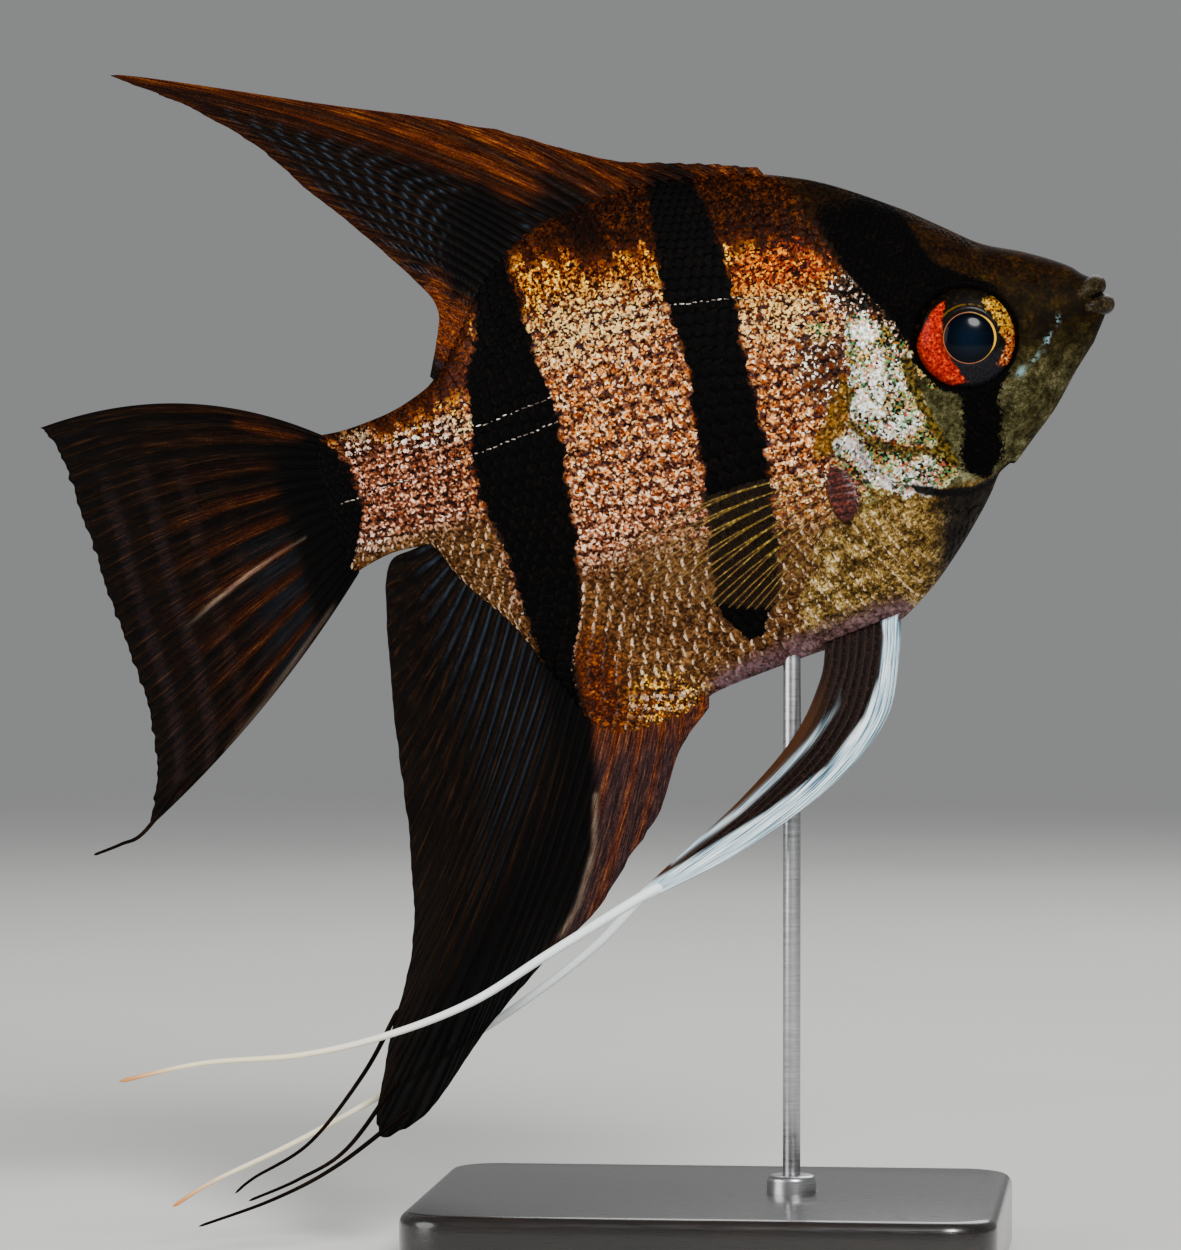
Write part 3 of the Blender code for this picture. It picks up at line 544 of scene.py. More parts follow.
class Finish:
    """A material in the making."""

    def __init__(self, name, **constants):
        self.material = bpy.data.materials.new(name)
        self.material.use_nodes = True
        self.tree = self.material.node_tree
        self.shader = self.tree.nodes["Principled BSDF"]
        self.coat(**constants)

    def coat(self, **sockets):
        """Feeds the shader's own sockets."""
        for name, value in sockets.items():
            feed(self.shader.inputs[name.replace("_", " ")], value)

    def node(self, kind, settings=None, out=0, **sockets):
        """A node of this kind, with its settings made first, then its sockets fed."""
        node = self.tree.nodes.new("ShaderNode" + kind)
        for name, value in (settings or {}).items():
            if name == "stops":
                elements = node.color_ramp.elements
                while len(elements) < len(value):
                    elements.new(0.5)
                for element, (position, colour) in zip(elements, value):
                    element.position, element.color = position, colour
            else:
                setattr(node, name, value)
        for name, value in sockets.items():
            feed(node.inputs[name.replace("_", " ")], value)
        return Socket(node.outputs[out])

    def mark(self, name):
        """A value stored on the piece's points."""
        return self.node("Attribute", {"attribute_name": name}, out="Fac")

    def mix(self, factor, first, second, blend="MIX"):
        node = self.tree.nodes.new("ShaderNodeMix")
        node.data_type, node.blend_type = "RGBA", blend
        for index, value in ((0, factor), (6, first), (7, second)):
            feed(node.inputs[index], value)
        return Socket(node.outputs[2])

    def layers(self, colour, *layers):
        """Lays colours over a first one, each given with its weight."""
        for weight, over in layers:
            colour = self.mix(weight, colour, over)
        return colour

    def shades(self, value, *stops):
        """Colours along a value, each stop given as its position, red, green and blue."""
        return self.node("ValToRGB", {"stops": [(at, tint(*colour)) for at, *colour in stops]}, Fac=value)

    def place(self, size=(1000.0, 1000.0, 1000.0), turn=(0.0, 0.0, 0.0), shift=(0.0, 0.0, 0.0)):
        """Places on the piece in millimetres, or by another size, turned and shifted."""
        coordinate = self.node("TexCoord", out="Object")
        return self.node("Mapping", Vector=coordinate, Scale=size, Rotation=turn, Location=shift)

    def level(self):
        """Places on the piece as on the level fish, in millimetres."""
        x, _, z = TAIL_ROOT
        c, s = math.cos(NOSE_UP), math.sin(NOSE_UP)
        shift = (-(x * c + z * s) / MM, 0.0, -(z * c - x * s) / MM)
        return self.place(turn=(0.0, NOSE_UP, 0.0), shift=shift)

    def grain(self, place, scale, detail=2.0, roughness=0.5):
        return self.node("TexNoise", Vector=place, Scale=scale, Detail=detail, Roughness=roughness)

    def bump(self, height, strength, distance):
        return self.node("Bump", Height=height, Strength=strength, Distance=distance * MM, out="Normal")


def hide_finish(name):
    """The hide's colours, the same on the skin and on the scales over it."""
    hide = Finish(name, Specular_IOR_Level=0.04, Coat_Roughness=0.22)
    place = hide.level()
    grains = hide.node("TexVoronoi", out="Color", Vector=place, Scale=3.9)
    pick, second, third = (hide.node("SeparateColor", out=n, Color=grains) for n in (0, 1, 2))
    glitter = hide.grain(place, 2.2, 3.0, 0.6)
    fine, patchy, broad = (hide.grain(place, scale) for scale in (6.5, 0.55, 0.24))
    streaks = hide.grain(hide.node("Mapping", Vector=place, Scale=(2.4, 2.4, 0.42)), 1.0, 2.0, 0.6)
    speck = (pick - 0.5) * 0.72 + (glitter - 0.5) * 0.68 + (patchy - 0.5) * 0.6 + 0.5
    quiet = (speck - 0.5) * 0.6 + 0.5
    grit = (pick - 0.5) * 0.60 + (glitter - 0.5) * 0.9 + (patchy - 0.5) * 1.1 + (broad - 0.5) * 1.7 + 0.47
    mottled = glitter * 0.25 + patchy * 0.45 + fine * 0.3
    cloudy = glitter * 0.5 + patchy * 0.5
    rim, heart, crest, pinkish = (hide.mark(mark) for mark in ("rim", "heart", "crest", "pink"))

    def zone(name, ragged=0.7, low=0.3, high=0.7, streaky=0.0):
        """Where a marking shows, with an edge broken up into grains and streaks."""
        mark = hide.mark(name)
        edge = mark + (speck - 0.5) * ragged + (streaks - 0.5) * streaky
        return edge.between(low, high) * mark.between(0.0, 0.2)

    # The middle of each scale is bright and golden, its border brown to purplish grey; the cream ring round the
    # middle and the brightest grains are painted glints.
    halo = heart.between(0.08, 0.40) * heart.between(0.95, 0.55)
    lit = (speck - 0.5) * 1.06 + halo * 0.18 + heart.between(0.10, 0.9) * 0.11 + 0.385
    lit = lit - hide.mark("stalk") * 0.10
    golden_spots = heart.between(0.35, 0.8) * (1 - crest) * third.between(0.25, 0.5)
    flank = hide.layers(
        hide.shades(
            lit, (0.10, 44, 22, 9), (0.28, 88, 49, 24), (0.45, 134, 82, 44), (0.62, 190, 130, 72),
            (0.78, 238, 194, 134), (0.93, 255, 244, 220),
        ),
        (second.between(0.62, 0.76) * (1 - heart) * 0.65, tint(116, 90, 100)),
        (golden_spots * 0.82, hide.mix(lit.between(0.3, 0.8), tint(138, 64, 10), tint(240, 160, 60))),
    )
    pink = hide.shades(
        lit, (0.10, 50, 26, 15), (0.30, 92, 54, 36), (0.47, 134, 86, 60), (0.63, 178, 126, 98),
        (0.80, 232, 192, 164), (0.95, 255, 240, 228),
    )
    pink = hide.mix(golden_spots * 0.35, pink, tint(196, 116, 56))
    belly = hide.shades(
        quiet, (0.20, 58, 37, 16), (0.42, 98, 69, 37), (0.58, 130, 96, 57), (0.80, 174, 138, 94)
    )
    # Bright crescents on the rear edges of the belly's scales are painted highlights, where the rims catch the
    # light.
    crescent = rim.between(0.36, 0.66) * crest * cloudy.between(0.40, 0.54)
    olive = hide.shades(
        mottled + (pick - 0.5) * 0.16 + heart * 0.06, (0.36, 60, 46, 19), (0.46, 104, 84, 42),
        (0.54, 144, 121, 70), (0.64, 186, 164, 112), (0.74, 236, 224, 190),
    )
    gold = hide.shades(
        speck * 0.9 + heart * 0.1 + (streaks - 0.5) * 1.2, (0.10, 32, 13, 0), (0.30, 84, 40, 0),
        (0.48, 124, 66, 1), (0.64, 184, 118, 3), (0.80, 240, 192, 36), (0.95, 255, 240, 160),
    )
    amber = hide.shades(speck, (0.20, 40, 12, 0), (0.42, 116, 44, 0), (0.62, 186, 88, 2), (0.88, 250, 190, 60))
    orange = hide.shades(quiet, (0.12, 32, 12, 2), (0.38, 74, 33, 6), (0.60, 116, 60, 12), (0.88, 206, 138, 44))
    back = hide.shades(
        quiet + (streaks - 0.5) * 0.9,
        (0.15, 26, 13, 2), (0.42, 56, 30, 6), (0.60, 84, 48, 10), (0.88, 130, 82, 20),
    )
    snout = hide.shades(mottled, (0.34, 26, 18, 2), (0.48, 48, 37, 5), (0.58, 70, 56, 11), (0.72, 106, 90, 32))
    cheek = hide.shades(
        mottled, (0.34, 46, 43, 26), (0.46, 88, 85, 58), (0.56, 124, 121, 92), (0.70, 184, 181, 156)
    )
    face = hide.mix(hide.mark("low"), hide.mix(hide.mark("back") * 0.35, snout, back), cheek)
    dusk = hide.shades(
        speck, (0.40, 22, 17, 16), (0.60, 58, 42, 34), (0.74, 150, 118, 84), (0.84, 255, 250, 236)
    )
    # The silver is dull and brassy away from its bright middle, a painted reflection, with painted green, red
    # and yellow glints.
    silver = hide.layers(
        hide.shades(
            grit, (0.18, 30, 27, 14), (0.36, 90, 84, 50), (0.52, 144, 140, 102), (0.66, 190, 188, 152),
            (0.80, 236, 232, 206),
        ),
        (zone("gleam", 0.7, 0.2, 0.8), hide.shades(
            grit, (0.10, 24, 23, 18), (0.28, 92, 90, 72), (0.41, 158, 162, 148), (0.54, 240, 245, 242),
            (0.85, 255, 255, 255),
        )),
        (second.between(0.78, 0.84) * 0.55, tint(132, 206, 150)),
        (third.between(0.84, 0.90) * 0.55, tint(236, 138, 116)),
        (third.between(0.16, 0.10) * 0.6, tint(226, 182, 70)),
        (hide.mark("fold").between(0.2, 0.8) * cloudy.between(0.36, 0.66) * 0.6, tint(214, 200, 212)),
    )
    shine = hide.mark("shine")
    glint = pinkish * (heart * 0.55 + pick * 0.5).between(0.5, 0.7)
    glint = glint + (1 - pinkish) * (speck * 0.8 + streaks * 0.3 + heart * 0.15).between(0.56, 0.78)
    back_mark, face_mark, silver_mark = zone("back", 0.9, streaky=1.8), zone("face", 0.5), zone("silver", 0.6)
    bars = zone("bars", 0.55, 0.32, 0.62)
    colour = hide.layers(
        flank,
        (pinkish, pink),
        (crest, belly),
        (zone("olive", 0.5, 0.2, 0.8), olive),
        # Painted highlights on the belly scales' rims.
        (crescent * third.between(0.0, 0.6) * 0.9, hide.mix(third, tint(232, 190, 140), tint(255, 240, 222))),
        (zone("gold", 0.9, streaky=1.4), gold),
        (zone("amber", 0.6) * 0.85, amber),
        (zone("orange", 0.6, 0.05, 0.95), orange),
        (back_mark, back),
        (face_mark, face),
        (zone("dusk", 0.9, 0.25, 0.75), dusk),
        (silver_mark, silver),
        # Painted shade in the grooves of the gill cover and cheek.
        (hide.mark("seam").between(0.1, 0.7) * 0.9, hide.mix(
            glitter.between(0.4, 0.6), tint(56, 45, 14), tint(140, 120, 48)
        )),
        # Painted highlights: cream and white glints over the pale patches.
        (shine * glint * 0.95, hide.mix(pinkish, tint(255, 232, 170), tint(255, 248, 238))),
        (hide.mark("mauve") * 0.85, hide.shades(mottled, (0.40, 86, 62, 58), (0.60, 156, 132, 142))),
        (hide.mark("strip") * 0.8, hide.mix(speck, tint(70, 48, 8), tint(176, 140, 40))),
        # Painted glints along the jaw.
        (hide.mark("streak") * grit.between(0.42, 0.60), tint(150, 178, 182)),
        # Painted shade on the throat, dark grey.
        (hide.mark("bluish") * 0.92, hide.shades(mottled, (0.4, 20, 18, 20), (0.6, 38, 34, 38))),
        # Painted shade under the gill cover's edge.
        (hide.mark("dark_line").between(0.15, 0.7) * 0.95, tint(12, 11, 12)),
        (bars, hide.shades(speck, (0.30, 4, 4, 5), (0.66, 12, 9, 8), (0.92, 44, 33, 26))),
    )
    bright = silver_mark.maths("MAXIMUM", silver_mark * 0.7, shine * 0.6) * (1 - bars)
    hide.coat(
        Base_Color=hide.node("Gamma", Color=colour, Gamma=HIDE_DEPTH),
        Metallic=bright * 0.75,
        Roughness=0.42 - 0.12 * bright + (fine - 0.5) * 0.3 + bars * 0.12 + face_mark * 0.25,
        Coat_Weight=(1 - bars) * (1 - face_mark) * (1 - back_mark) * (0.07 + bright * 0.15),
        Normal=hide.bump(pick * 0.25 + glitter * 0.5 + fine * 0.25, 0.30, 0.06),
    )
    return hide.material


HIDE_DEPTH = 1.55  # deepens the hide's colours, which a soft light washes out
FLESH = ("head", "lower_jaw", "gill_cover_left", "gill_cover_right", "trunk", "tail")
skin = hand_over(make_skin(), "skin", hide_finish("fish_skin"), "flank_skin", *FLESH)


# ---- The lips. Two soft rolls of dark olive skin, thick in front and thin at the corners of the
# mouth, closed over the ends of the jaws, the lower one reaching a little further forward.
def way_along(points, t, even=False):
    """The points at these shares of the way along the smooth curve through the points."""
    points = np.array(points, float)
    gaps = np.ones(len(points) - 1) if even else np.linalg.norm(np.diff(points, axis=0), axis=1)
    marks = np.concatenate(([0], gaps.cumsum()))
    where = np.clip(t, 0, 1) * marks[-1]
    i = np.clip(np.searchsorted(marks, where, side="right") - 1, 0, len(points) - 2)
    f = ((where - marks[i]) / (marks[i + 1] - marks[i]))[..., None]
    ends = np.vstack([2 * points[0] - points[1], points, 2 * points[-1] - points[-2]])
    p0, p1, p2, p3 = ends[i], ends[i + 1], ends[i + 2], ends[i + 3]
    turn = (p2 - p0) * f + (2 * p0 - 5 * p1 + 4 * p2 - p3) * f**2 + (3 * p1 - p0 - 3 * p2 + p3) * f**3
    return p1 + turn / 2


def make_thread(points, radii, around=12, along=60, swell=False):
    """A closed thread along the smooth curve through the points.

    Its radius tapers from the first to the second of radii or, with swell, rises from the first at
    both ends to the second in the middle.
    """
    thread, turn, t = rolled_grid(around, along)
    middle = way_along(points, t)
    ahead = way_along(points, np.minimum(t + 0.01, 1)) - way_along(points, np.maximum(t - 0.01, 0))
    ahead /= np.linalg.norm(ahead, axis=1, keepdims=True)
    sideways = np.cross(ahead, (0.0, 0.0, 1.0) if swell else (0.0, 1.0, 0.0))
    sideways /= np.linalg.norm(sideways, axis=1, keepdims=True)
    share = np.maximum(np.sin(math.pi * t), 0) ** 0.8 if swell else t
    rounded = np.sqrt(np.clip(np.minimum(t, 1 - t) * along * 0.7, 0, 1))
    radius = (radii[0] + (radii[1] - radii[0]) * share) * rounded
    angle = turn * 2 * math.pi
    out = sideways * np.cos(angle)[:, None] + np.cross(ahead, sideways) * np.sin(angle)[:, None]
    place_points(thread.data, middle + out * radius[:, None])
    paint(thread.data, {"way": t, "reach": 0.6 + 0.4 * t, "ray": np.ones(len(t)), "span": 0.5 + 0 * t})
    close_mesh(thread, 0.0005)
    return thread


UPPER_LIP = [(86.6, 2.75, 0.8), (87.7, 2.25, 1.3), (88.6, 1.2, 1.65), (88.9, 0, 1.7)]
LOWER_LIP = [(86.8, 2.7, -0.4), (88.0, 2.2, -0.55), (89.0, 1.2, -0.63), (89.3, 0, -0.6)]
lip_skin = Finish("lip_skin", Specular_IOR_Level=0.05)
lip_grain = lip_skin.grain(lip_skin.level(), 2.2, 3.0, 0.6)
lip_skin.coat(
    Base_Color=lip_skin.shades(lip_grain, (0.34, 18, 13, 6), (0.50, 34, 26, 14), (0.66, 62, 52, 34)),
    Roughness=0.38 + (lip_grain - 0.5) * 0.2,
    Normal=lip_skin.bump(lip_grain, 0.25, 0.05),
)
for name, path, thickest in (("lip_upper", UPPER_LIP, 1.18), ("lip_lower", LOWER_LIP, 1.16)):
    mouth = path + [(x, -y, z) for x, y, z in path[-2::-1]]
    hand_over(make_thread(mouth, (0.45, thickest), 24, 72, swell=True), name, lip_skin.material, "head_skin")


# ---- The coat. The scales are thin plates of bone under clear skin, each rooted in front under
# the ones before it and free at its round rear edge. They are largest on the middle of the flank,
# small on the back, the tail stalk and the nape, and smallest on the cheek and gill cover.
SCALE_SIZES = [  # along the body, height, pitch along a row, pitch between rows
    (35, 0, 1.65, 1.95), (45, -5, 1.65, 1.95), (30, -24, 1.52, 1.75), (30, -14, 1.6, 1.65),
    (35, 14, 1.36, 1.52), (54, 13, 1.2, 1.4), (53, 0, 1.3, 1.5), (14, -12, 1.15, 1.05), (6, 0, 1.1, 1.0),
    (50, -22, 1.28, 1.45), (38, 25, 0.95, 0.95), (64, 12, 0.9, 0.95), (58, -26, 1.1, 1.2),
    (16, 10, 0.9, 0.9), (26, 22, 1.0, 1.0), (22, 0, 1.45, 1.6), (24, -32, 1.2, 1.3), (48, 23, 0.95, 0.95),
    (-1, 0, 0.9, 0.85), (68, -22, 0.9, 0.95),
]
FACE_SIZES = [
    (62, -4, 0.95, 0.95), (66, -12, 0.75, 0.75), (72, -10, 0.65, 0.65), (64, 12, 0.85, 0.9),
    (70, 12, 0.7, 0.75), (76, 8, 0.55, 0.6), (60, -12, 0.8, 0.8), (76, -8, 0.55, 0.55),
]
SCALE_SIDES = 12
SCALE_LENGTH, SCALE_WIDTH, SCALE_LIFT = 1.08, 0.80, 0.078  # as shares of the pitches
LATTICE_STEP = 0.25
SIDES = (("left", 1), ("right", -1))


def pitches(sizes, s, h):
    """The pitch of the scales along and across the rows at these places."""
    weights, along_row, between = 0, 0, 0
    for s0, h0, a, b in sizes:
        weight = 1 / (((s - s0) ** 2 + (h - h0) ** 2 + 9) ** 1.5)
        weights, along_row, between = weights + weight, along_row + weight * a, between + weight * b
    return along_row / weights, between / weights


def scale_lattice(sizes, start, first, last):
    """Where the scales root on one flank: rows run along the body, each half a scale out of step."""
    s, q = np.arange(first, last, LATTICE_STEP), np.arange(GIRTH_LOW, GIRTH_HIGH, LATTICE_STEP)
    grid_s, grid_q = np.meshgrid(s, q, indexing="ij")
    a, b = pitches(sizes, grid_s, on_body(grid_s, grid_q, 1.0)[..., 2])
    rows = np.cumsum(LATTICE_STEP / b, axis=1)
    rows -= rows[:, np.argmin(np.abs(q)), None]
    steps = np.cumsum(LATTICE_STEP / a, axis=0)
    steps -= steps[np.argmin(np.abs(s - start))]
    low, high = np.interp(s, STATION, LOWEST), np.interp(s, STATION, HIGHEST)
    every, foremost = np.arange(len(s)), len(s) - 1
    roots = []
    for number in range(int(rows.min()), int(rows.max()) + 1):
        row_q = np.array([np.interp(number, row, q) for row in rows])
        n = np.clip(((row_q - q[0]) / LATTICE_STEP).astype(int), 0, len(q) - 1)
        step, margin = steps[every, n], 0.12 * b[every, n]
        fits = (row_q < high - margin) & (row_q > low + margin)
        for count in range(math.ceil(step.min()), math.floor(step.max())):
            want = count + 0.5 * (number % 2)
            k = np.searchsorted(step, want)
            if 0 < k < len(s) and fits[k]:
                f = (want - step[k - 1]) / (step[k] - step[k - 1])
                place = (s[k - 1] + LATTICE_STEP * f, row_q[k - 1] * (1 - f) + row_q[k] * f)
                slope = (row_q[min(k + 2, foremost)] - row_q[max(k - 2, 0)]) / (4 * LATTICE_STEP)
                roots.append((*place, slope, a[k, n[k]], b[k, n[k]]))
    return np.array(roots).T


def scale_pattern():
    """One scale, as points along, across and out, and its faces: a domed plate with a rim."""
    turn = np.arange(SCALE_SIDES) * 2 * math.pi / SCALE_SIDES
    x, y = np.cos(turn), np.sin(turn)
    x = np.where(x < 0, x * 0.85, x)
    rings = [(0.62, 0.10), (0.985, 0.0), (1.0, -0.30)]
    points = [(x[i] * r, y[i] * r, z) for r, z in rings for i in range(SCALE_SIDES)]
    points = [(0.05, 0, 0.14)] + points + [(0, 0, -0.42)]
    faces = []
    last = len(points) - 1
    for i in range(SCALE_SIDES):
        after = (i + 1) % SCALE_SIDES
        faces.append((0, 1 + i, 1 + after))
        for ring in range(2):
            base = 1 + ring * SCALE_SIDES
            faces.append((base + i, base + SCALE_SIDES + i, base + SCALE_SIDES + after, base + after))
        faces.append((last, 1 + 2 * SCALE_SIDES + after, 1 + 2 * SCALE_SIDES + i))
    return np.array(points), faces


def turned(x, y, angle):
    """Places x ahead and y across, turned by one angle for each copy."""
    c, s = np.cos(angle)[:, None], np.sin(angle)[:, None]
    return x * c - y * s, x * s + y * c


def copies(name, points, faces, count):
    """One piece of many copies of a pattern's faces, on points that are laid out copy by copy."""
    each = len(points) // count
    every_face = [tuple(i + k * each for i in face) for k in range(count) for face in faces]
    mesh = bpy.data.meshes.new(name)
    mesh.from_pydata(hung(points).tolist(), [], every_face)
    piece = bpy.data.objects.new(name, mesh)
    bpy.context.scene.collection.objects.link(piece)
    return piece


def make_coat(name, sizes, start, reach, keep, side, slot_name, gill):
    """The scales of one part of one flank, laid over the skin from the front to the rear."""
    s, q, slope, a, b = scale_lattice(sizes, start, *reach)
    p, h = marks_place(on_body(s, q, side))
    kept = keep(p, h, s)
    s, q, slope, a, b, p, h = (v[kept] for v in (s, q, slope, a, b, p, h))
    count = len(s)
    pattern, faces = scale_pattern()
    n = len(pattern)
    lean = -np.arctan(slope) + CHANCE.normal(0, 0.05, count)
    size = 1 + CHANCE.normal(0, 0.03, count)
    tilt = CHANCE.normal(0, 0.02, count)
    x = pattern[None, :, 0] * (a * SCALE_LENGTH * size)[:, None]
    y = pattern[None, :, 1] * (b * SCALE_WIDTH * size)[:, None]
    thickness = (0.12 * a)[:, None]
    lift = SCALE_LIFT * (x + a[:, None]) + pattern[None, :, 2] * thickness + y * tilt[:, None] + 0.02
    # The rear edge points to the tail, which is down the stations.
    backwards, across = turned(x, y, lean)
    every_s = np.clip(s[:, None] - backwards, BODY_END, SNOUT - 1).ravel()
    every_q = (q[:, None] + across).ravel()
    points = on_body(every_s, every_q, side)
    mark_p, mark_h = marks_place(points)
    height = relief(mark_p, mark_h, gill) - COAT_DEPTH + lift.ravel() - RELIEF_DEPTH
    points += outward(every_s, every_q, side) * height[:, None]
    coat = copies(name, points, faces, count)
    mesh = coat.data
    # A marking follows the scales: it reaches a little past its line on each scale that it takes.
    middle_p, middle_h = np.repeat(p - 0.5 * a, n), np.repeat(h, n)
    paint(mesh, markings(0.5 * (mark_p + middle_p), 0.5 * (mark_h + middle_h)))
    rim = np.clip((pattern[:, 0] - 0.25) / 0.72, 0, 1) ** 2
    rim[-1] = 0
    heart = np.clip(1.25 - np.hypot(pattern[:, 0] - 0.5, pattern[:, 1]) / 0.5, 0, 1)
    paint(mesh, {"rim": np.tile(rim, count), "heart": np.tile(heart, count)})
    low, high = np.interp(s, STATION, LOWEST), np.interp(s, STATION, HIGHEST)
    home = np.stack([(q - low) / (high - low), (s - BODY_END) / (SNOUT - BODY_END)], axis=-1) * 0.98 + 0.01
    uv = home[:, None, :] + pattern[None, :, [1, 0]] * 0.0015
    corner = np.empty(len(mesh.loops), np.int32)
    mesh.loops.foreach_get("vertex_index", corner)
    layer = mesh.uv_layers.new(name="OFBake")
    layer.data.foreach_set("uv", uv.reshape(-1, 2)[corner].astype(np.float32).ravel())
    mesh.shade_smooth()
    mesh.validate()
    return hand_over(coat, name, coat_finish, slot_name)


def behind_gills(p, h, s):
    """Which of the scales at these places belong to the trunk."""
    away, left = from_line(p, h, GILL_EDGE)
    in_front = (left > 0) & (h < 7.5)
    nape = p > smooth_curve([(7, 61.4), (12, 62.5), (20, 60.5), (24, 58.5)], h)
    throat = (p > 63) & (h > -18.5 - 0.1 * (p - 63)) & (h < 7)
    return ~(in_front & (away > 0.9)) & ~((h >= 7.5) & nape) & ~throat & (p < 71) & (s > -0.6)


def on_face(p, h, s):
    """Which belong to the gill cover, the cheek and the nape."""
    away, left = from_line(p, h, GILL_EDGE)
    plate = (left > 0) & (away > 0.55) & (h < 7.5)
    nape = (h >= 7.0) & (p > smooth_curve([(7, 61.0), (12, 62.0), (20, 60.0), (24, 58.0)], h))
    from_eye = np.hypot(p - ORBIT[0], h - ORBIT[1])
    bare = (from_eye < ORBIT_RADIUS + 0.75) | (p > 77.5) | (h < -14.2) | ((p > 74.5) & (h < -11))
    return (plate | nape) & ~bare


coat_finish = hide_finish("fish_scales")
for side_name, side in SIDES:
    make_coat(
        f"scales_flank_{side_name}", SCALE_SIZES, 42.0, (-1.0, 74.0), behind_gills, side, "flank_skin", False
    )
    make_coat(f"scales_face_{side_name}", FACE_SIZES, 66.0, (57.0, 79.0), on_face, side, "head_skin", True)


# ---- The lateral line. Along the flank runs a row of short bony tubes, one on the middle of a
# scale, pale against the bars. It runs high over the front of the body, breaks off below the soft
# part of the dorsal fin and goes on lower, out to the tail.
LATERAL_LINES = [
    [(60.5, 6.2), (55, 9.0), (49, 10.7), (45, 11.3), (40, 12.0), (35, 12.1), (31, 11.6)],
    [(26.5, 2.5), (16, 1.4), (5, 0.5), (-0.6, 0.0)],
    [(26.5, 5.4), (22, 4.9), (17, 4.3)],
]
TUBE_PITCH, TUBE_LENGTH, TUBE_RADIUS = 0.74, 0.50, 0.085
MID_FLANK = 5.0  # how far the flank stands off the middle there


def flank_girth(s, h):
    """How far round the flank from its widest line these heights lie, at each place s."""
    nearest = np.rint((s - STATION[0]) / (STATION[1] - STATION[0])).astype(int)
    nearest = np.clip(nearest, 0, len(STATION) - 1)
    return np.array([
        np.interp(height, section(np.full(len(TURN), here), TURN)[1], round_flank[k])
        for here, height, k in zip(s, h, nearest)
    ])


def points_of(piece):
    return np.array([vert.co for vert in piece.data.vertices])


def make_lateral_line(side):
    places, headings = [], []
    for line in LATERAL_LINES:
        length = sum(math.dist(a, b) for a, b in zip(line, line[1:]))
        count = int(length / TUBE_PITCH)
        t = (np.arange(count) + 0.5) / count
        here, after = way_along(line, t), way_along(line, np.minimum(t + 0.01, 1))
        places.append(here)
        headings.append(np.arctan2(*(after - here)[:, ::-1].T))
    place, heading = np.vstack(places), np.concatenate(headings)
    heading = heading + CHANCE.normal(0, 0.12, len(heading))
    s = place[:, 0] + LEAN * MID_FLANK
    q = flank_girth(s, place[:, 1] + CHANCE.normal(0, 0.06, len(s)))
    bpy.ops.mesh.primitive_uv_sphere_add(segments=8, ring_count=6, radius=1)
    bead = bpy.context.object
    shape = points_of(bead)[:, [2, 0, 1]]
    faces = [tuple(face.vertices) for face in bead.data.polygons]
    bpy.data.objects.remove(bead)
    count = len(s)
    size = np.clip(1 + CHANCE.normal(0, 0.3, count), 0.3, 1.6)
    x = shape[None, :, 0] * (TUBE_LENGTH / 2 * size)[:, None]
    along, across = turned(x, shape[None, :, 1] * TUBE_RADIUS, heading)
    every_s, every_q = (s[:, None] + along).ravel(), (q[:, None] + across).ravel()
    out = np.tile(shape[:, 2] * TUBE_RADIUS, count) + np.repeat(CHANCE.normal(-0.03, 0.03, count), len(shape))
    points = on_body(every_s, every_q, side) + outward(every_s, every_q, side) * out[:, None]
    line = copies("lateral_line", points, faces, count)
    close_mesh(line, 0.0001)
    return line


bone = Finish("tube_bone", Roughness=0.35, Specular_IOR_Level=0.6)
bone_grain = bone.grain(bone.level(), 1.3)
bone_colour = bone.shades(bone_grain, (0.38, 60, 46, 38), (0.5, 140, 122, 108), (0.64, 240, 232, 224))
bone.coat(Base_Color=bone_colour)
for side_name, side in SIDES:
    hand_over(make_lateral_line(side), f"lateral_line_{side_name}", bone.material, "flank_skin")


# ---- The eyes. Each is a glossy ball, flattened outwards, with a domed blue-black lens ringed in
# gold, an iris orange-red behind, gold before and nearly black above and below, and a thin dark
# fold of skin round it.
EYE_PLACE, EYE_RADIUS, EYE_DEPTH = (73.45, 3.95, -0.35), 5.98, 2.85
GAZE_FORWARD = math.radians(7.0)
PUPIL_PLACE, PUPIL_RADIUS = (0.18, -0.15), 2.80
FOLD_ROUND = 0.25  # the fold's ring before it is shaped, as a share of its radius


def eye_frame(side):
    """The directions forward, up and out of an eye."""
    forward = np.array([math.cos(GAZE_FORWARD), -side * math.sin(GAZE_FORWARD), 0.0])
    out = np.array([math.sin(GAZE_FORWARD), side * math.cos(GAZE_FORWARD), 0.0])
    return forward, np.array([0.0, 0.0, 1.0]), out


def make_eye(side):
    bpy.ops.mesh.primitive_uv_sphere_add(segments=128, ring_count=96, radius=1)
    eye = bpy.context.object
    ball = points_of(eye)
    fore, rise = ball[:, 0] * EYE_RADIUS, ball[:, 1] * EYE_RADIUS
    from_pupil = np.hypot(fore - PUPIL_PLACE[0], rise - PUPIL_PLACE[1]) / PUPIL_RADIUS
    bulge = ball[:, 2] * EYE_DEPTH * np.where(ball[:, 2] < 0, 0.5, 1)
    front = ball[:, 2] > 0
    bulge += front * 0.30 * np.sqrt(np.maximum(0, 1 - from_pupil**2))
    bulge -= front * 0.10 * np.exp(-(((from_pupil - 1.03) / 0.07) ** 2))
    bulge += front * 0.06 * np.exp(-(((from_pupil - 1.22) / 0.12) ** 2))
    forward, up, out = eye_frame(side)
    centre = np.array([EYE_PLACE[0], side * EYE_PLACE[1], EYE_PLACE[2]])
    points = centre + fore[:, None] * forward + rise[:, None] * up + bulge[:, None] * out
    place_points(eye.data, points)
    paint(eye.data, {"fore": fore, "rise": rise})
    close_mesh(eye, 0.0005)
    return eye


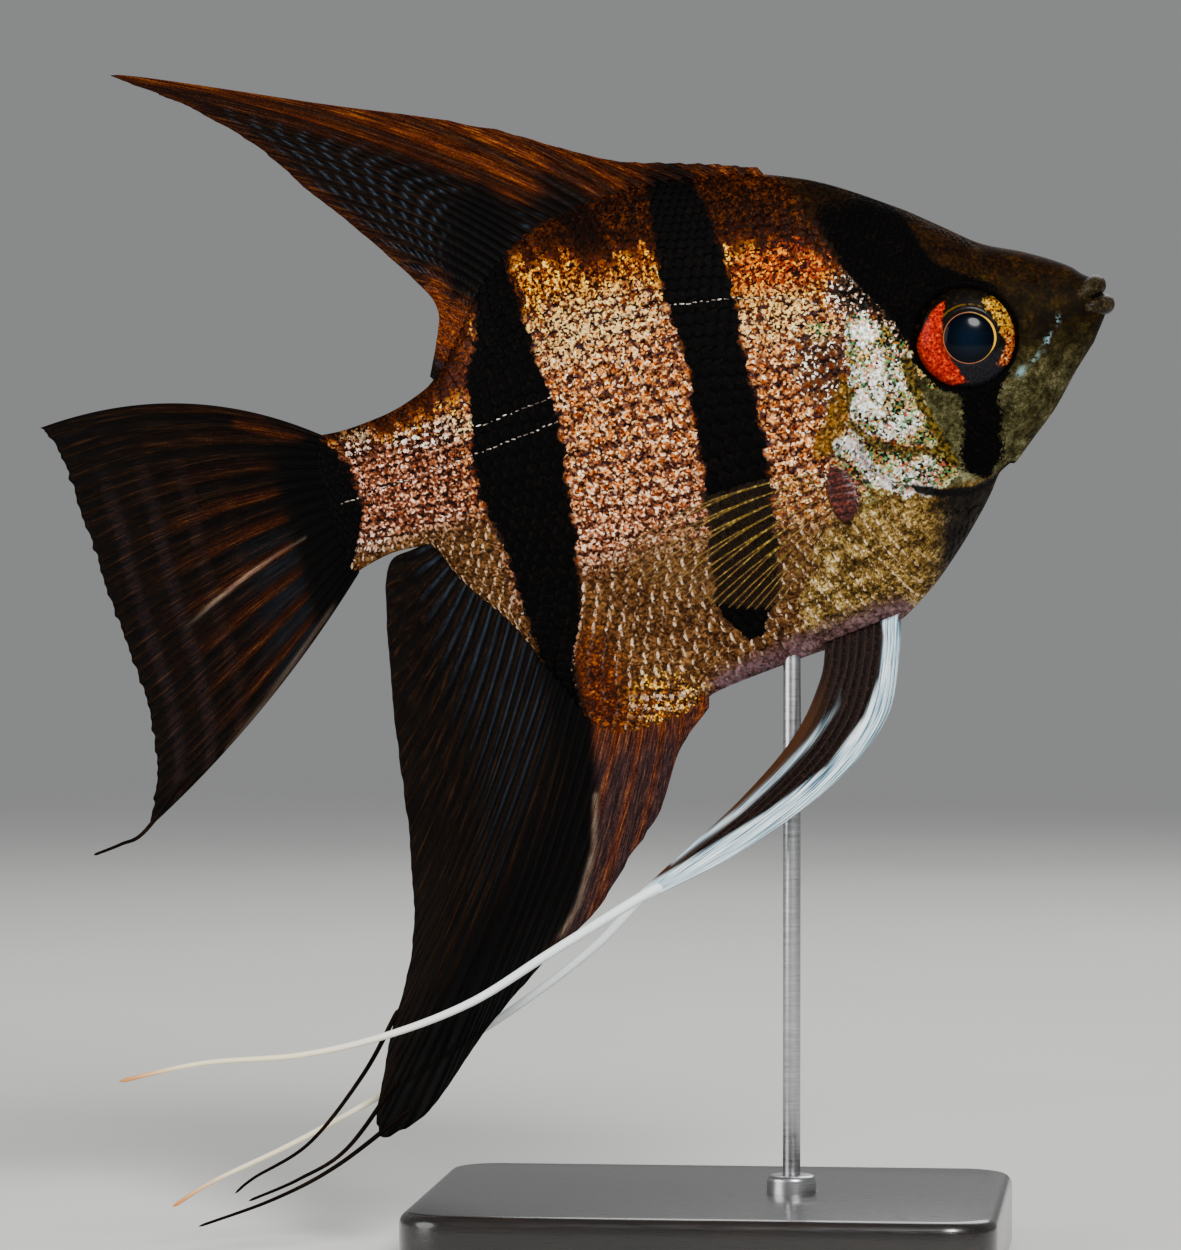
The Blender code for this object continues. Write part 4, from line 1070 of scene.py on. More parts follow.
def eye_finish():
    eye = Finish("eye_gloss", Coat_Weight=0.06, Coat_Roughness=0.02, Specular_IOR_Level=0.05)
    fore, rise = eye.mark("fore"), eye.mark("rise")
    place = eye.node("CombineXYZ", X=fore, Y=rise)
    fine = eye.grain(place, 3.4, 3.0, 0.6)
    fleck = eye.grain(place, 1.7, 3.0, 0.65)
    from_middle = (fore * fore + rise * rise) ** 0.5
    across, above = fore - PUPIL_PLACE[0], rise - PUPIL_PLACE[1]
    from_pupil = (across * across + above * above) ** 0.5 + (fine - 0.5) * 0.06
    grains = fine * 0.5 + fleck * 0.5

    dark = eye.shades(fleck, (0.40, 5, 4, 3), (0.58, 12, 8, 3), (0.72, 44, 30, 8))
    dark_below = eye.shades(fine, (0.35, 6, 6, 8), (0.66, 26, 24, 29))
    # A hair-thin gold line arches over the lens.
    arch = from_pupil.between(3.62, 3.72) * from_pupil.between(3.90, 3.80)
    arch = arch * (rise - across.maths("ABSOLUTE", across) * 0.6).between(1.2, 1.8)
    # Behind the pupil the iris is orange-red, in a crescent that thins towards its upper end.
    inner = rise * rise * 0.062 - 2.55 + (fleck - 0.5) * 0.8
    outer = 5.66 - rise.between(0.0, 3.2) * 0.85
    crescent = (inner - fore).between(-0.15, 0.25) * rise.between(-4.95, -4.5) * rise.between(4.7, 4.3)
    crescent = crescent * from_middle.between(outer + 0.12, outer - 0.18)
    red = eye.layers(
        eye.shades(
            grains, (0.36, 72, 3, 0), (0.46, 132, 10, 0), (0.54, 178, 27, 0), (0.62, 206, 58, 0),
            (0.70, 236, 124, 6),
        ),
        (from_middle.between(5.1, 5.7) * 0.5, tint(130, 34, 2)),
        (from_pupil.between(3.6, 3.0) * 0.7, tint(60, 14, 2)),
    )
    # Before it a crescent of gold flecks lies along the rim, narrow and orange at its lower end.
    inmost = 4.3 - rise.between(-1.8, -0.2) * 0.7 + rise.between(2.4, 3.4) * 0.7
    gold_ring = (from_middle + (fleck - 0.5) * 1.3).between(inmost, inmost + 0.4)
    gold_ring = gold_ring * from_middle.between(5.72, 5.5)
    ahead = (fore / from_middle).between(0.50, 0.64) * rise.between(-4.3, -3.6) * rise.between(3.9, 3.2)
    gold = eye.layers(
        eye.shades(grains, (0.36, 40, 16, 0), (0.45, 140, 78, 2), (0.54, 206, 148, 10), (0.66, 246, 220, 110)),
        (rise.between(0.6, -2.0), eye.shades(
            grains, (0.38, 64, 12, 0), (0.48, 180, 60, 2), (0.58, 226, 140, 40), (0.66, 255, 236, 190)
        )),
        (from_middle.between(5.0, 5.5) * rise.between(2.2, 0.4) * 0.7, tint(170, 40, 0)),
    )
    # The ring round the lens is a thin line, wider and yellow in front.
    width = 0.02 + (across / from_pupil).between(0.6, 1.0) * 0.18
    ring = from_pupil.between(PUPIL_RADIUS - 0.02, PUPIL_RADIUS + 0.06)
    ring = ring * from_pupil.between(width + PUPIL_RADIUS + 0.09, width + PUPIL_RADIUS)
    lens = from_pupil.between(PUPIL_RADIUS + 0.03, PUPIL_RADIUS - 0.05)
    colour = eye.layers(
        dark,
        (rise.between(-1.0, -3.2), dark_below),
        (arch * fleck.between(0.38, 0.5) * 0.6, tint(112, 78, 10)),
        (crescent, red),
        (gold_ring * ahead * grains.between(0.40, 0.48), gold),
        (ring, eye.mix(across.between(-0.5, 2.6), tint(190, 112, 74), tint(226, 170, 36))),
        (lens, eye.mix(from_pupil.between(0.0, 2.8), tint(5, 16, 30), tint(1, 4, 9))),
        (from_middle.between(5.62, 5.78), tint(3, 3, 3)),
    )
    eye.coat(
        Base_Color=colour,
        Metallic=gold_ring * ahead * 0.5 * (1 - lens),
        Roughness=0.36 - lens * 0.20,
        Normal=eye.bump(fine, 0.25 * (1 - lens), 0.05),
    )
    return eye.material


def make_eye_fold(side):
    """The fold of skin round an eye, a ring that follows the head's surface."""
    bpy.ops.mesh.primitive_torus_add(
        major_segments=144, minor_segments=14, major_radius=1, minor_radius=FOLD_ROUND
    )
    fold = bpy.context.object
    ring = points_of(fold)
    turn = np.arctan2(ring[:, 1], ring[:, 0])
    outer, raised = (np.hypot(ring[:, 0], ring[:, 1]) - 1) / FOLD_ROUND, ring[:, 2] / FOLD_ROUND
    reach = ORBIT_RADIUS + 0.18
    s = ORBIT[0] + 0.22 + reach * np.cos(turn)
    h = ORBIT[1] - 0.18 + reach * np.sin(turn)
    q = flank_girth(s, h)
    middle, normal = on_body(s, q, side), outward(s, q, side)
    away = np.stack([np.cos(turn), np.zeros(len(s)), np.sin(turn)], axis=-1)
    away -= normal * (away * normal).sum(axis=1, keepdims=True)
    sink = np.where(outer < 0, -outer * 0.45, -0.02 * outer)
    points = middle + away * (outer * 0.46)[:, None] + normal * (raised * 0.16 - 0.14 - sink)[:, None]
    place_points(fold.data, points)
    p, h = marks_place(points)
    tone = markings(p, h)
    lower_rear = ramp(71.5 - p, 0, 1) * ramp(-h, 2.0, 3.5)
    dark = ramp(-outer, -1.0, -0.5) * (1 - 0.6 * lower_rear * ramp(outer, -0.2, 0.4))
    tone["bars"] = strongest(tone["bars"], dark)
    paint(fold.data, tone | {"rim": 0 * p, "heart": 0 * p})
    close_mesh(fold, 0.0005)
    return fold


eye_gloss = eye_finish()
for side_name, side in SIDES:
    hand_over(make_eye(side), f"eyeball_{side_name}", eye_gloss, "eye_gloss", f"eye_{side_name}")
    hand_over(make_eye_fold(side), f"eye_fold_{side_name}", skin.data.materials[0], "head_skin")


# ---- The dorsal, anal and tail fins. Each is a fan of jointed rays of bone, single and hard in
# front and branched behind, under thin smoky skin that both sides of a ray carry. They rise from
# between the muscles of the back, the belly's rear and the tail.
DORSAL_ROOT = [
    (56.6, 22.4), (53, 23.2), (50, 24.2), (46, 25.0), (42, 25.4), (38, 25.6), (34, 25.2), (31.5, 24.6),
    (29, 23.6), (27, 22.6), (25, 21.2), (23, 19.6), (21.2, 17.6), (19.6, 15.4), (17.6, 13.2), (14.2, 10.0),
]
DORSAL_EDGE = [
    (55.6, 24.5), (51, 26.2), (46, 27.7), (40, 29.6), (34, 32.9), (26, 37.6), (10, 44.4), (-12, 53.9),
    (-8.6, 50.8), (-4.8, 47.8), (1.0, 42.0), (5.5, 35.5), (10.2, 29.2), (15.2, 21.6), (16.4, 18.4),
    (15.4, 15.2), (13.6, 11.4),
]
ANAL_ROOT = [(35.2, -30.6), (29, -32.6), (23, -32.2), (20, -27), (17, -19.5), (13, -14.0), (9, -6.0)]
ANAL_EDGE = [
    (34.6, -33.0), (30, -37.0), (26, -43.2), (21.5, -47.2), (16.6, -51.8), (9, -56.2), (0.3, -62.2),
    (-8.2, -69.3), (-14.6, -70.6), (-11.4, -62.0), (-5.4, -51.0), (-2.6, -40.0), (-0.6, -26.0),
    (1.6, -14.0), (3.6, -7.9), (7.4, -7.0),
]
TAIL_FIN_ROOT = [(0.2, 8.0), (1.2, 3.0), (1.2, -3.0), (0.0, -8.0)]
TAIL_FIN_EDGE = [
    (-31.4, 17.4), (-30.0, 14.4), (-29.1, 5.0), (-28.5, -5.0), (-27.7, -15.0), (-28.4, -23.0),
    (-31.0, -29.9),
]
ANAL_STREAMERS = (
    [(-8.4, -57.0), (-14.4, -63.3), (-22.4, -69.3), (-29.7, -71.6), (-32.3, -72.8)],
    [(-10.6, -64.8), (-18.4, -71.0), (-24.6, -73.0), (-31.0, -74.0)],
    [(-10.0, -68.4), (-20.0, -72.6), (-28.0, -74.5), (-37.4, -75.4)],
)
TAIL_FIN_STREAMER = [(-25.6, -25.6), (-31.6, -30.2), (-34.6, -30.9), (-38.0, -31.3)]
DORSAL_RAYS, DORSAL_SPINES, ANAL_RAYS, ANAL_SPINES, TAIL_RAYS = 37, 12, 32, 6, 18
FAN_THICKNESS = (0.16, 0.24)  # half the skin's, and what half a ray adds
FAN_FACES = (300, 90)  # across and along the dorsal and anal fins


def hard_part(t, rays, spines):
    """1 where the rays are hard spines and 0 where they branch."""
    return ramp(spines / rays - t, -0.01, 0.01)


def ray_relief(t, u, rays, spines):
    """How strongly the rays stand out at share t across and u along the fan: each forks outwards."""
    soft = 1 - hard_part(t, rays, spines)
    fork = soft * 0.22 * ramp(u, 0.30, 0.85)
    width = 0.17 - 0.05 * ramp(u, 0.3, 0.9) * soft
    return np.exp(-(((np.abs((t * rays) % 1.0 - 0.5) - fork) / width) ** 2))


def fan_place(root, edge, t, reach, bow, even=False):
    """Where a fan's middle sheet lies. A ray arches by bow, as a share of its length, which runs
    from its first value at the first ray to its second at the last."""
    start, end = way_along(root, t, even), way_along(edge, t, even)
    chord = end - start
    arch = np.stack([chord[:, 1], -chord[:, 0]], axis=-1) * (bow[0] + (bow[1] - bow[0]) * t)[:, None]
    return start + chord * reach[:, None] + arch * (4 * reach * (1 - reach))[:, None]


def make_fin(root, edge, rays, spines, faces, bow, even=False, steps=0.0, wave=0.0):
    """A fan of rays and skin as one closed sheet, with both its sides in relief.

    steps is how far the skin falls back between the hard rays' tips, wave how far the fan sways.
    """
    fin, side, t, u = closed_sheet(*faces)
    ray, hard = ray_relief(t, u, rays, spines), hard_part(t, rays, spines)
    ragged = 0.5 + 0.5 * np.sin(t * rays * 4.1 + 2 * np.sin(t * 40))
    fall = steps * hard * ((t * rays) % 1.0) + (0.004 * (1 - ray) + 0.008 * ragged) * (1 - hard)
    flat = fan_place(root, edge, t, u * (1 - fall), bow, even)
    skin_half, ray_half = FAN_THICKNESS
    half = skin_half * (1 - 0.5 * u) + ray_half * ray * (1 - 0.62 * u) * (1 + 0.5 * hard)
    joints = 1 + 0.10 * np.sin(u * 2 * math.pi * 26) * (1 - hard)
    border = np.minimum(np.minimum(t, 1 - t) * rays * 3, np.minimum(1 - u, 1) * 40)
    half = half * joints * np.sqrt(np.clip(border, 0, 1))
    sway = wave * np.sin(3.0 * u + 5.0 * t) * u
    place_points(fin.data, np.stack([flat[:, 0], side * half + sway, flat[:, 1]], axis=-1))
    paint(fin.data, {"ray": ray, "reach": u, "span": t})
    return fin, flat[:, 0], flat[:, 1], t, u


def fin_finish(name):
    fin = Finish(name, Specular_IOR_Level=0.03)
    ray, reach = fin.mark("ray"), fin.mark("reach")
    along_rays = fin.node("CombineXYZ", X=fin.mark("span") * 240, Y=reach * 7.0)
    lines = fin.grain(along_rays, 1.0, 3.0, 0.6)
    fine = fin.grain(fin.level(), 4.5, 2.0, 0.5)
    tone = lines * 0.75 + fine * 0.25
    colour = fin.layers(
        fin.shades(tone, (0.34, 4, 3, 3), (0.52, 10, 7, 6), (0.70, 27, 18, 12)),
        (ray * 0.8, fin.shades(tone, (0.34, 11, 7, 5), (0.52, 27, 17, 10), (0.70, 66, 43, 25))),
        (fin.mark("blue"), fin.shades(tone, (0.34, 24, 32, 42), (0.64, 92, 112, 132))),
        (fin.mark("warm") * (0.6 + ray * 0.4), fin.shades(
            tone, (0.32, 38, 12, 2), (0.46, 84, 33, 5), (0.56, 134, 63, 11), (0.70, 212, 132, 44)
        )),
        (fin.mark("night"), fin.shades(tone, (0.4, 4, 4, 4), (0.7, 14, 11, 10))),
        (fin.mark("pale"), fin.shades(tone, (0.34, 176, 104, 60), (0.58, 250, 232, 206))),
    )
    clear = (1 - ray) * reach.between(0.25, 1.0) * (1 - fin.mark("warm") * 0.5)
    fin.coat(
        Base_Color=fin.node("Gamma", Color=colour, Gamma=1.1),
        Roughness=0.55 - ray * 0.12,
        Alpha=1 - clear * 0.10,
        Normal=fin.bump(lines, 0.2, 0.04),
    )
    return fin.material


smoky_fin = fin_finish("smoky_fin")

# The dorsal fin: warm in front, with rows of grey-blue spots behind.
dorsal, s, h, t, u = make_fin(
    DORSAL_ROOT, DORSAL_EDGE, DORSAL_RAYS, DORSAL_SPINES, FAN_FACES, (0.02, 0.06), even=True, steps=0.10
)
FRONT_BAND_REAR = [
    (48, 24.0), (40, 26.0), (33, 27.5), (27, 28.5), (23, 33.0), (16, 37.6), (8, 42.0), (0, 46.6), (-5, 49.6),
    (-13, 53.0),
]
DARK_PATCH = [(18.4, 19.0), (25.8, 21.0), (28.0, 26.0), (25.0, 31.0), (21.0, 30.0), (18.4, 24.0)]
away, left = from_line(s, h, FRONT_BAND_REAR)
front_band = ramp(away * -left, -1.6, 1.4)
front_streaks = 0.62 + 0.38 * np.sin(t * DORSAL_RAYS * math.pi + 1.2 * u)
warm = strongest(
    front_band * front_streaks * (0.32 + 0.40 * ramp(s, -5.0, 28.0)),
    0.55 * ridge(s, h, DORSAL_EDGE[3:8], 0.7),
    0.22 * ridge(s, h, DORSAL_EDGE[7:15], 1.1),
    0.9 * spot(s, h, (17.2, 17.0), (2.6, 5.0), 0.5),
)
# The spots lie between the rays in rows across them, each a little behind the last.
row = t * DORSAL_RAYS
dots = ramp(np.cos(2 * math.pi * (u * 15 + 0.5 * np.round(row))), 0.35, 0.9)
between_rays = ramp(np.cos(2 * math.pi * row), -0.2, 0.5)
rear_part = ramp(t, 0.42, 0.56) * ramp(0.97 - u, 0, 0.15) * (1 - front_band)
blue = dots * between_rays * rear_part * 0.44
night = strongest(
    inside(s, h, DARK_PATCH, 1.8) * 0.95,
    spots(s, h, (0.6, (33.5, 27.5), (2.4, 2.8), 0.6), (0.6, (45.5, 25.5), (3.2, 2.6), 0.6)),
)
paint(dorsal.data, {"warm": warm * (1 - night), "blue": blue * (1 - night), "night": night, "pale": 0 * t})
close_mesh(dorsal, 0.0008)
hand_over(dorsal, "dorsal_fan", smoky_fin, "dark_fin", "dorsal_fin")

# The anal fin: a golden-brown front strip, a black band behind it, then fine rays on dark brown.
anal, s, h, t, u = make_fin(
    ANAL_ROOT, ANAL_EDGE, ANAL_RAYS, ANAL_SPINES, FAN_FACES, (-0.02, -0.03), steps=0.05
)
STRIP_REAR = [
    (22.0, -28.0), (20.8, -33.4), (19.5, -39.3), (17.8, -45.0), (14.4, -50.7), (11.6, -53.6), (6.0, -56.4),
]
behind, left = from_line(s, h, STRIP_REAR)
golden = ramp(behind * left, -0.7, 0.9) * ramp(-h, 27.0, 31.0) * ramp(h, -57.0, -52.5)
BAND_REAR = [
    (17.0, -24.0), (17.0, -35.0), (14.5, -40.0), (9.0, -45.0), (3.0, -50.0), (-2.0, -55.0), (-8.0, -60.0),
    (-12.0, -66.0),
]
band_away, band_left = from_line(s, h, BAND_REAR)
band = ramp(band_away * band_left, -1.5, 1.5) * (1 - golden)
streaks = 0.45 + 0.55 * np.sin(t * ANAL_RAYS * math.pi)
lines = np.exp(-((((t * ANAL_RAYS) % 1.0 - 0.15) / 0.12) ** 2))
near_base = ramp(0.62 - u, 0, 0.45) * ramp(t, 0.42, 0.55) * lines
paint(anal.data, {
    "warm": golden * (0.20 + 0.30 * streaks + 0.30 * ramp(h, -37.0, -33.5)),
    "night": band * 0.95,
    "blue": strongest(near_base * 0.26, golden * 0.13),
    "pale": 0.35 * golden * ridge(s, h, STRIP_REAR[2:6], 0.30),
})
close_mesh(anal, 0.0008)
hand_over(anal, "anal_fan", smoky_fin, "dark_fin", "anal_fin")

# The tail fin: dark at its root, with warm streaks along its rays and one pale ray.
tail_fan, s, h, t, u = make_fin(
    TAIL_FIN_ROOT, TAIL_FIN_EDGE, TAIL_RAYS, 0, (220, 80), (0.10, -0.035), wave=0.3
)
PALE_RAY = [(-5.0, -2.6), (-8.0, -3.4), (-12.0, -4.8), (-17.0, -7.0), (-21.0, -9.0)]
LOWER_RAY = [(-3.6, -10.8), (-7.4, -13.9), (-14.0, -19.2), (-20.0, -23.6)]
streaks = ramp(np.sin(t * TAIL_RAYS * math.pi + 0.8), -0.1, 0.9)
lit_part = ramp(-s, 5.2, 6.6) * ramp(s, -27.0, -10.0)
cross_bands = ramp(np.sin(u * 44.0 + 0.6 * np.sin(7.0 * t)), 0.0, 0.9) * ramp(t, 0.1, 0.3)
warm = strongest(
    streaks * lit_part * (0.06 + 0.13 * ramp(8.0 - h, 0, 6.0)),
    0.3 * ridge(s, h, [(-2.6, 8.3), (-5.0, 9.6), (-9.0, 12.0)], 0.6),
    0.05 * cross_bands * ramp(u, 0.35, 0.6),
    0.38 * ridge(s, h, PALE_RAY, 0.35) * ramp(s, -20.0, -14.0),
)
pale = ridge(s, h, PALE_RAY, 0.15 + 0.06 * ramp(-s, 4, 12))
pale = pale * (0.06 + 0.12 * ramp(-s, 7, 12)) * ramp(s, -22.0, -16.0)
root_dark = ramp(s, -7.6, -4.8) * ramp(9.0 - h, 0, 1.5)
gaps = (1 - streaks) * lit_part * ramp(s, -16.0, -9.0) * ramp(-h, 0.0, 3.0)
paint(tail_fan.data, {
    "warm": warm * (1 - root_dark),
    "night": root_dark,
    "blue": strongest(0.055 * gaps, 0.04 * cross_bands * ramp(u, 0.4, 0.8)),
    "pale": strongest(pale, ridge(s, h, LOWER_RAY, 0.25) * 0.07) * ramp(-s, 3.0, 5.0),
})
close_mesh(tail_fan, 0.0008)
hand_over(tail_fan, "tail_fan", smoky_fin, "dark_fin", "caudal_fin")

threads = {f"anal_thread_{n}": line for n, line in enumerate(ANAL_STREAMERS, 1)}
for name, line in (threads | {"tail_thread": TAIL_FIN_STREAMER}).items():
    thread = make_thread([(x, 0.0, z) for x, z in line], (0.30, 0.16))
    none = np.zeros(len(thread.data.vertices))
    paint(thread.data, {"warm": none, "night": none + 0.4, "blue": none, "pale": none})
    hand_over(thread, name, smoky_fin, "dark_fin")


# ---- The pectoral fins. A fan of thin yellow rays with dark edges in clear skin, spread back
# over the flank from a ridged, fleshy, reddish root.
PECTORAL_ROOT = [(55.4, -10.8), (54.9, -13.4), (54.2, -16.2)]
PECTORAL_EDGE = [(31.0, -12.8), (31.0, -15.4), (32.8, -18.0), (36.2, -20.6), (40.6, -22.8), (45.6, -24.4)]
PECTORAL_LOBE, PECTORAL_LOBE_RADII, PECTORAL_SPREAD = (56.0, 6.15, -13.2), (2.0, 0.9, 3.9), 0.20
PECTORAL_RAYS = 10


def make_pectoral(side):
    fin, face, t, u = closed_sheet(150, 70)
    ray = ray_relief(t, u, PECTORAL_RAYS, 0) ** 4.0
    flat = fan_place(PECTORAL_ROOT, PECTORAL_EDGE, t, u * (1 - 0.03 * (1 - ray)), (0.08, -0.02))
    half = (0.05 + 0.13 * ray) * (1 - 0.6 * u)
    half = half * np.sqrt(np.clip(np.minimum(np.minimum(t, 1 - t) * 40, (1 - u) * 40), 0, 1))
    away = PECTORAL_LOBE[1] + PECTORAL_SPREAD * (PECTORAL_LOBE[0] - flat[:, 0]) + 0.15 * np.sin(7 * t) * u
    points = np.stack([flat[:, 0], side * (away + face * half), flat[:, 1]], axis=-1)
    place_points(fin.data, points)
    edge_line = np.exp(-(((ray - 0.42) / 0.12) ** 2))
    paint(fin.data, {"ray": ray, "reach": u, "span": t, "ray_edge": edge_line})
    close_mesh(fin, 0.0005)
    return fin


def make_lobe(side):
    bpy.ops.mesh.primitive_uv_sphere_add(segments=64, ring_count=48, radius=1)
    lobe = bpy.context.object
    ball = points_of(lobe)[:, [0, 2, 1]]
    ridges = 0.06 * np.sin(ball[:, 2] * 26 + 1.5 * ball[:, 0]) * ramp(np.abs(ball[:, 1]), 0.0, 0.4)
    points = ball * (1 + ridges)[:, None] * np.array(PECTORAL_LOBE_RADII) * np.array([0.92, 0.95, 0.92])
    points[:, 0] += -0.35 * (ball[:, 2] ** 2) - 0.1
    place_points(lobe.data, (points + np.array(PECTORAL_LOBE)) * np.array([1, side, 1]))
    paint(lobe.data, {"ahead": ball[:, 0], "ridge": 0.5 + 8 * ridges})
    close_mesh(lobe, 0.0005)
    return lobe


clear_fin = Finish("clear_fin", Specular_IOR_Level=0.1)
ray, reach = clear_fin.mark("ray"), clear_fin.mark("reach")
ray_grain = clear_fin.grain(clear_fin.level(), 2.5, 2.0)
web = clear_fin.shades(ray_grain, (0.36, 80, 54, 30), (0.64, 150, 120, 86))
yellow = clear_fin.shades(ray_grain, (0.36, 56, 40, 4), (0.54, 110, 86, 14), (0.68, 176, 150, 60))
fin_colour = clear_fin.layers(
    web,
    (ray.between(0.35, 0.6), yellow),
    (reach.between(0.35, 0.85) * 0.5, tint(110, 78, 46)),
    (clear_fin.mark("ray_edge") * 0.9, tint(26, 15, 5)),
)
edge_shows = clear_fin.mark("ray_edge") * 0.5 * (1 - reach * 0.4)
clear_fin.coat(
    Base_Color=fin_colour,
    Roughness=0.32,
    Alpha=ray.maths("MAXIMUM", ray.between(0.42, 0.75) * 0.66 + 0.02, edge_shows),
)
flesh = Finish("fin_root_flesh", Specular_IOR_Level=0.15, Coat_Weight=0.06)
flesh_grain = flesh.grain(flesh.level(), 3.0, 3.0)
flesh_colour = flesh.layers(
    flesh.shades(flesh_grain, (0.36, 24, 5, 2), (0.52, 62, 19, 12), (0.68, 112, 50, 36)),
    # The grooves between the root's ridges are painted dark, as shade.
    (flesh.mark("ridge").between(0.4, 0.1) * 0.7, tint(20, 5, 3)),
    (flesh.mark("ahead").between(0.55, 1.0) * flesh_grain.between(0.46, 0.58) * 0.6, tint(206, 176, 168)),
)
flesh.coat(Base_Color=flesh_colour, Roughness=0.45, Normal=flesh.bump(flesh_grain, 0.3, 0.06))
for side_name, side in SIDES:
    fan = make_pectoral(side)
    hand_over(fan, f"pectoral_fan_{side_name}", clear_fin.material, "clear_fin", f"pectoral_fin_{side_name}")
    hand_over(make_lobe(side), f"pectoral_root_{side_name}", flesh.material, "clear_fin")


# ---- The pelvic fins. A stout white spine leads each, finer rays follow in dark skin, and a
# white thread runs on from its tip and trails under the whole fish, yellow to brown at its end.
PELVIC_LEADING = [
    (58.2, 2.6, -28.2), (56.8, 3.4, -32.6), (53.4, 4.6, -39.4), (46.0, 5.4, -44.9), (34.6, 5.8, -49.4),
    (22.2, 5.9, -52.2),
]
PELVIC_TRAILING = [
    (49.4, 1.7, -29.2), (47.7, 2.3, -33.2), (43.2, 3.1, -38.6), (35.7, 4.4, -43.8), (27.3, 5.4, -48.2),
    (21.9, 5.9, -51.1),
]
STREAMER_START = (25.0, 5.85, -50.9)
RIGHT_STREAMER = [
    (21.6, 5.9, -51.7), (10.4, 5.6, -55.1), (0.4, 5.2, -58.2), (-10, 5.0, -59.4), (-20, 5.0, -59.1),
    (-31, 5.0, -57.2), (-40.9, 5.0, -56.8),
]
LEFT_STREAMER = [
    (21.6, 5.9, -51.7), (14.4, 6.1, -56.1), (5, 6.0, -60.1), (-4, 5.6, -63.2), (-13, 5.2, -66.2),
    (-25, 4.8, -69.2), (-35, 4.6, -71.1), (-40.6, 4.6, -72.8),
]
WHITE_EDGE = [
    (56.0, -27.0), (55.6, -30.2), (54.0, -34.4), (51.2, -38.3), (45.8, -42.6), (38.2, -45.7),
    (27, -49.1), (20, -51.0),
]
SECOND_RAY = [
    (51.0, -28.0), (50.6, -32.6), (48.9, -36.4), (44.6, -39.7), (40, -42.5), (35, -45.1), (26, -48.7),
]


def make_pelvic(side):
    fin, face, t, u = closed_sheet(90, 110)
    lead, trail = way_along(PELVIC_LEADING, u), way_along(PELVIC_TRAILING, u)
    middle = lead + (trail - lead) * t[:, None]
    p, h = marks_place(middle)
    away, left = from_line(p, h, WHITE_EDGE)
    white = ramp(away * left, 0.0, 0.5)
    second = ridge(p, h, SECOND_RAY, 0.30) * ramp(50.0 - p, 0, 7.0)
    rays = 0.5 + 0.5 * np.cos(2 * math.pi * (t * 9))
    spine = np.exp(-((t / 0.10) ** 2))
    half = 0.12 + 0.42 * spine + 0.16 * white * (1 - spine) + 0.05 * second + 0.07 * rays * (1 - white)
    half = half * (1 - 0.45 * u) * np.sqrt(np.clip(np.minimum(t * 14, (1 - t) * 30), 0, 1))
    half = half * np.sqrt(np.clip(np.minimum(u * 30, (1 - u) * 20 + 0.3), 0, 1))
    middle[:, 1] = side * (middle[:, 1] + face * half + 0.25 * np.sin(5 * t) * u * (1 - u))
    place_points(fin.data, middle)
    brown = ramp(t, 0.7, 0.95) * ramp(50.0 - p, 0, 6.0)
    white = strongest(white, second * 0.75)
    paint(fin.data, {"white": white, "brown": brown, "way": u * 0.4, "ray": rays, "span": t})
    close_mesh(fin, 0.0008)
    return fin


pelvic = Finish("pelvic_white", Specular_IOR_Level=0.06)
way = pelvic.mark("way")
pelvic_grain = pelvic.grain(pelvic.node("CombineXYZ", X=pelvic.mark("span") * 46, Y=way * 14.0), 1.0, 3.0, 0.6)
pelvic_fine = pelvic.grain(pelvic.level(), 5.0, 2.0)
thread_mark = pelvic.mark("thread")
# The white is streaked along the rays with painted blue-grey shade and white highlights.
white = pelvic.layers(
    pelvic.shades(
        pelvic_grain, (0.34, 40, 62, 76), (0.45, 116, 152, 168), (0.55, 214, 232, 238), (0.64, 255, 255, 255)
    ),
    (thread_mark, tint(246, 252, 252)),
    (thread_mark * way.between(0.3, 0.8) * 0.6, tint(250, 222, 140)),
    (thread_mark * way.between(0.86, 1.0) * 0.9, tint(206, 120, 20)),
)
web = pelvic.layers(
    pelvic.shades(pelvic_fine, (0.36, 7, 4, 3), (0.56, 18, 10, 8), (0.7, 46, 28, 20)),
    (pelvic.mark("ray").between(0.75, 1.0) * 0.25, tint(66, 52, 44)),
    (pelvic.mark("brown") * 0.7, tint(66, 38, 18)),
)
pelvic.coat(
    Base_Color=pelvic.mix(pelvic.mark("white"), web, white),
    Roughness=0.36 + (pelvic_fine - 0.5) * 0.3,
    Normal=pelvic.bump(pelvic_grain, 0.25, 0.1),
)
for (side_name, side), route in zip(SIDES, (LEFT_STREAMER, RIGHT_STREAMER)):
    fan = make_pelvic(side)
    hand_over(fan, f"pelvic_fan_{side_name}", pelvic.material, "white_ray", f"pelvic_fin_{side_name}")
    route = [(x, side * y, z) for x, y, z in [STREAMER_START] + route]
    thread = make_thread(route, (0.60, 0.22), 16, 160)
    full = np.ones(len(thread.data.vertices))
    paint(thread.data, {"white": full, "thread": full})
    replaced = f"pelvic_streamer_{side_name}"
    hand_over(thread, f"pelvic_thread_{side_name}", pelvic.material, "white_ray", replaced)


# ---- The stand. A flat base of hardwood under satin black lacquer, with a rounded edge, a turned
# steel collar and a brushed steel rod that goes up into the belly.
BASE_SIZE = (0.066, 0.054, 0.008)
ROD_RADIUS, COLLAR_RADIUS, COLLAR_HEIGHT = 0.0010, 0.0028, 0.0020
NEAR = 0.0001
rod_low, rod_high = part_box("stand_rod")
rod_x = (rod_low[0] + rod_high[0]) / 2


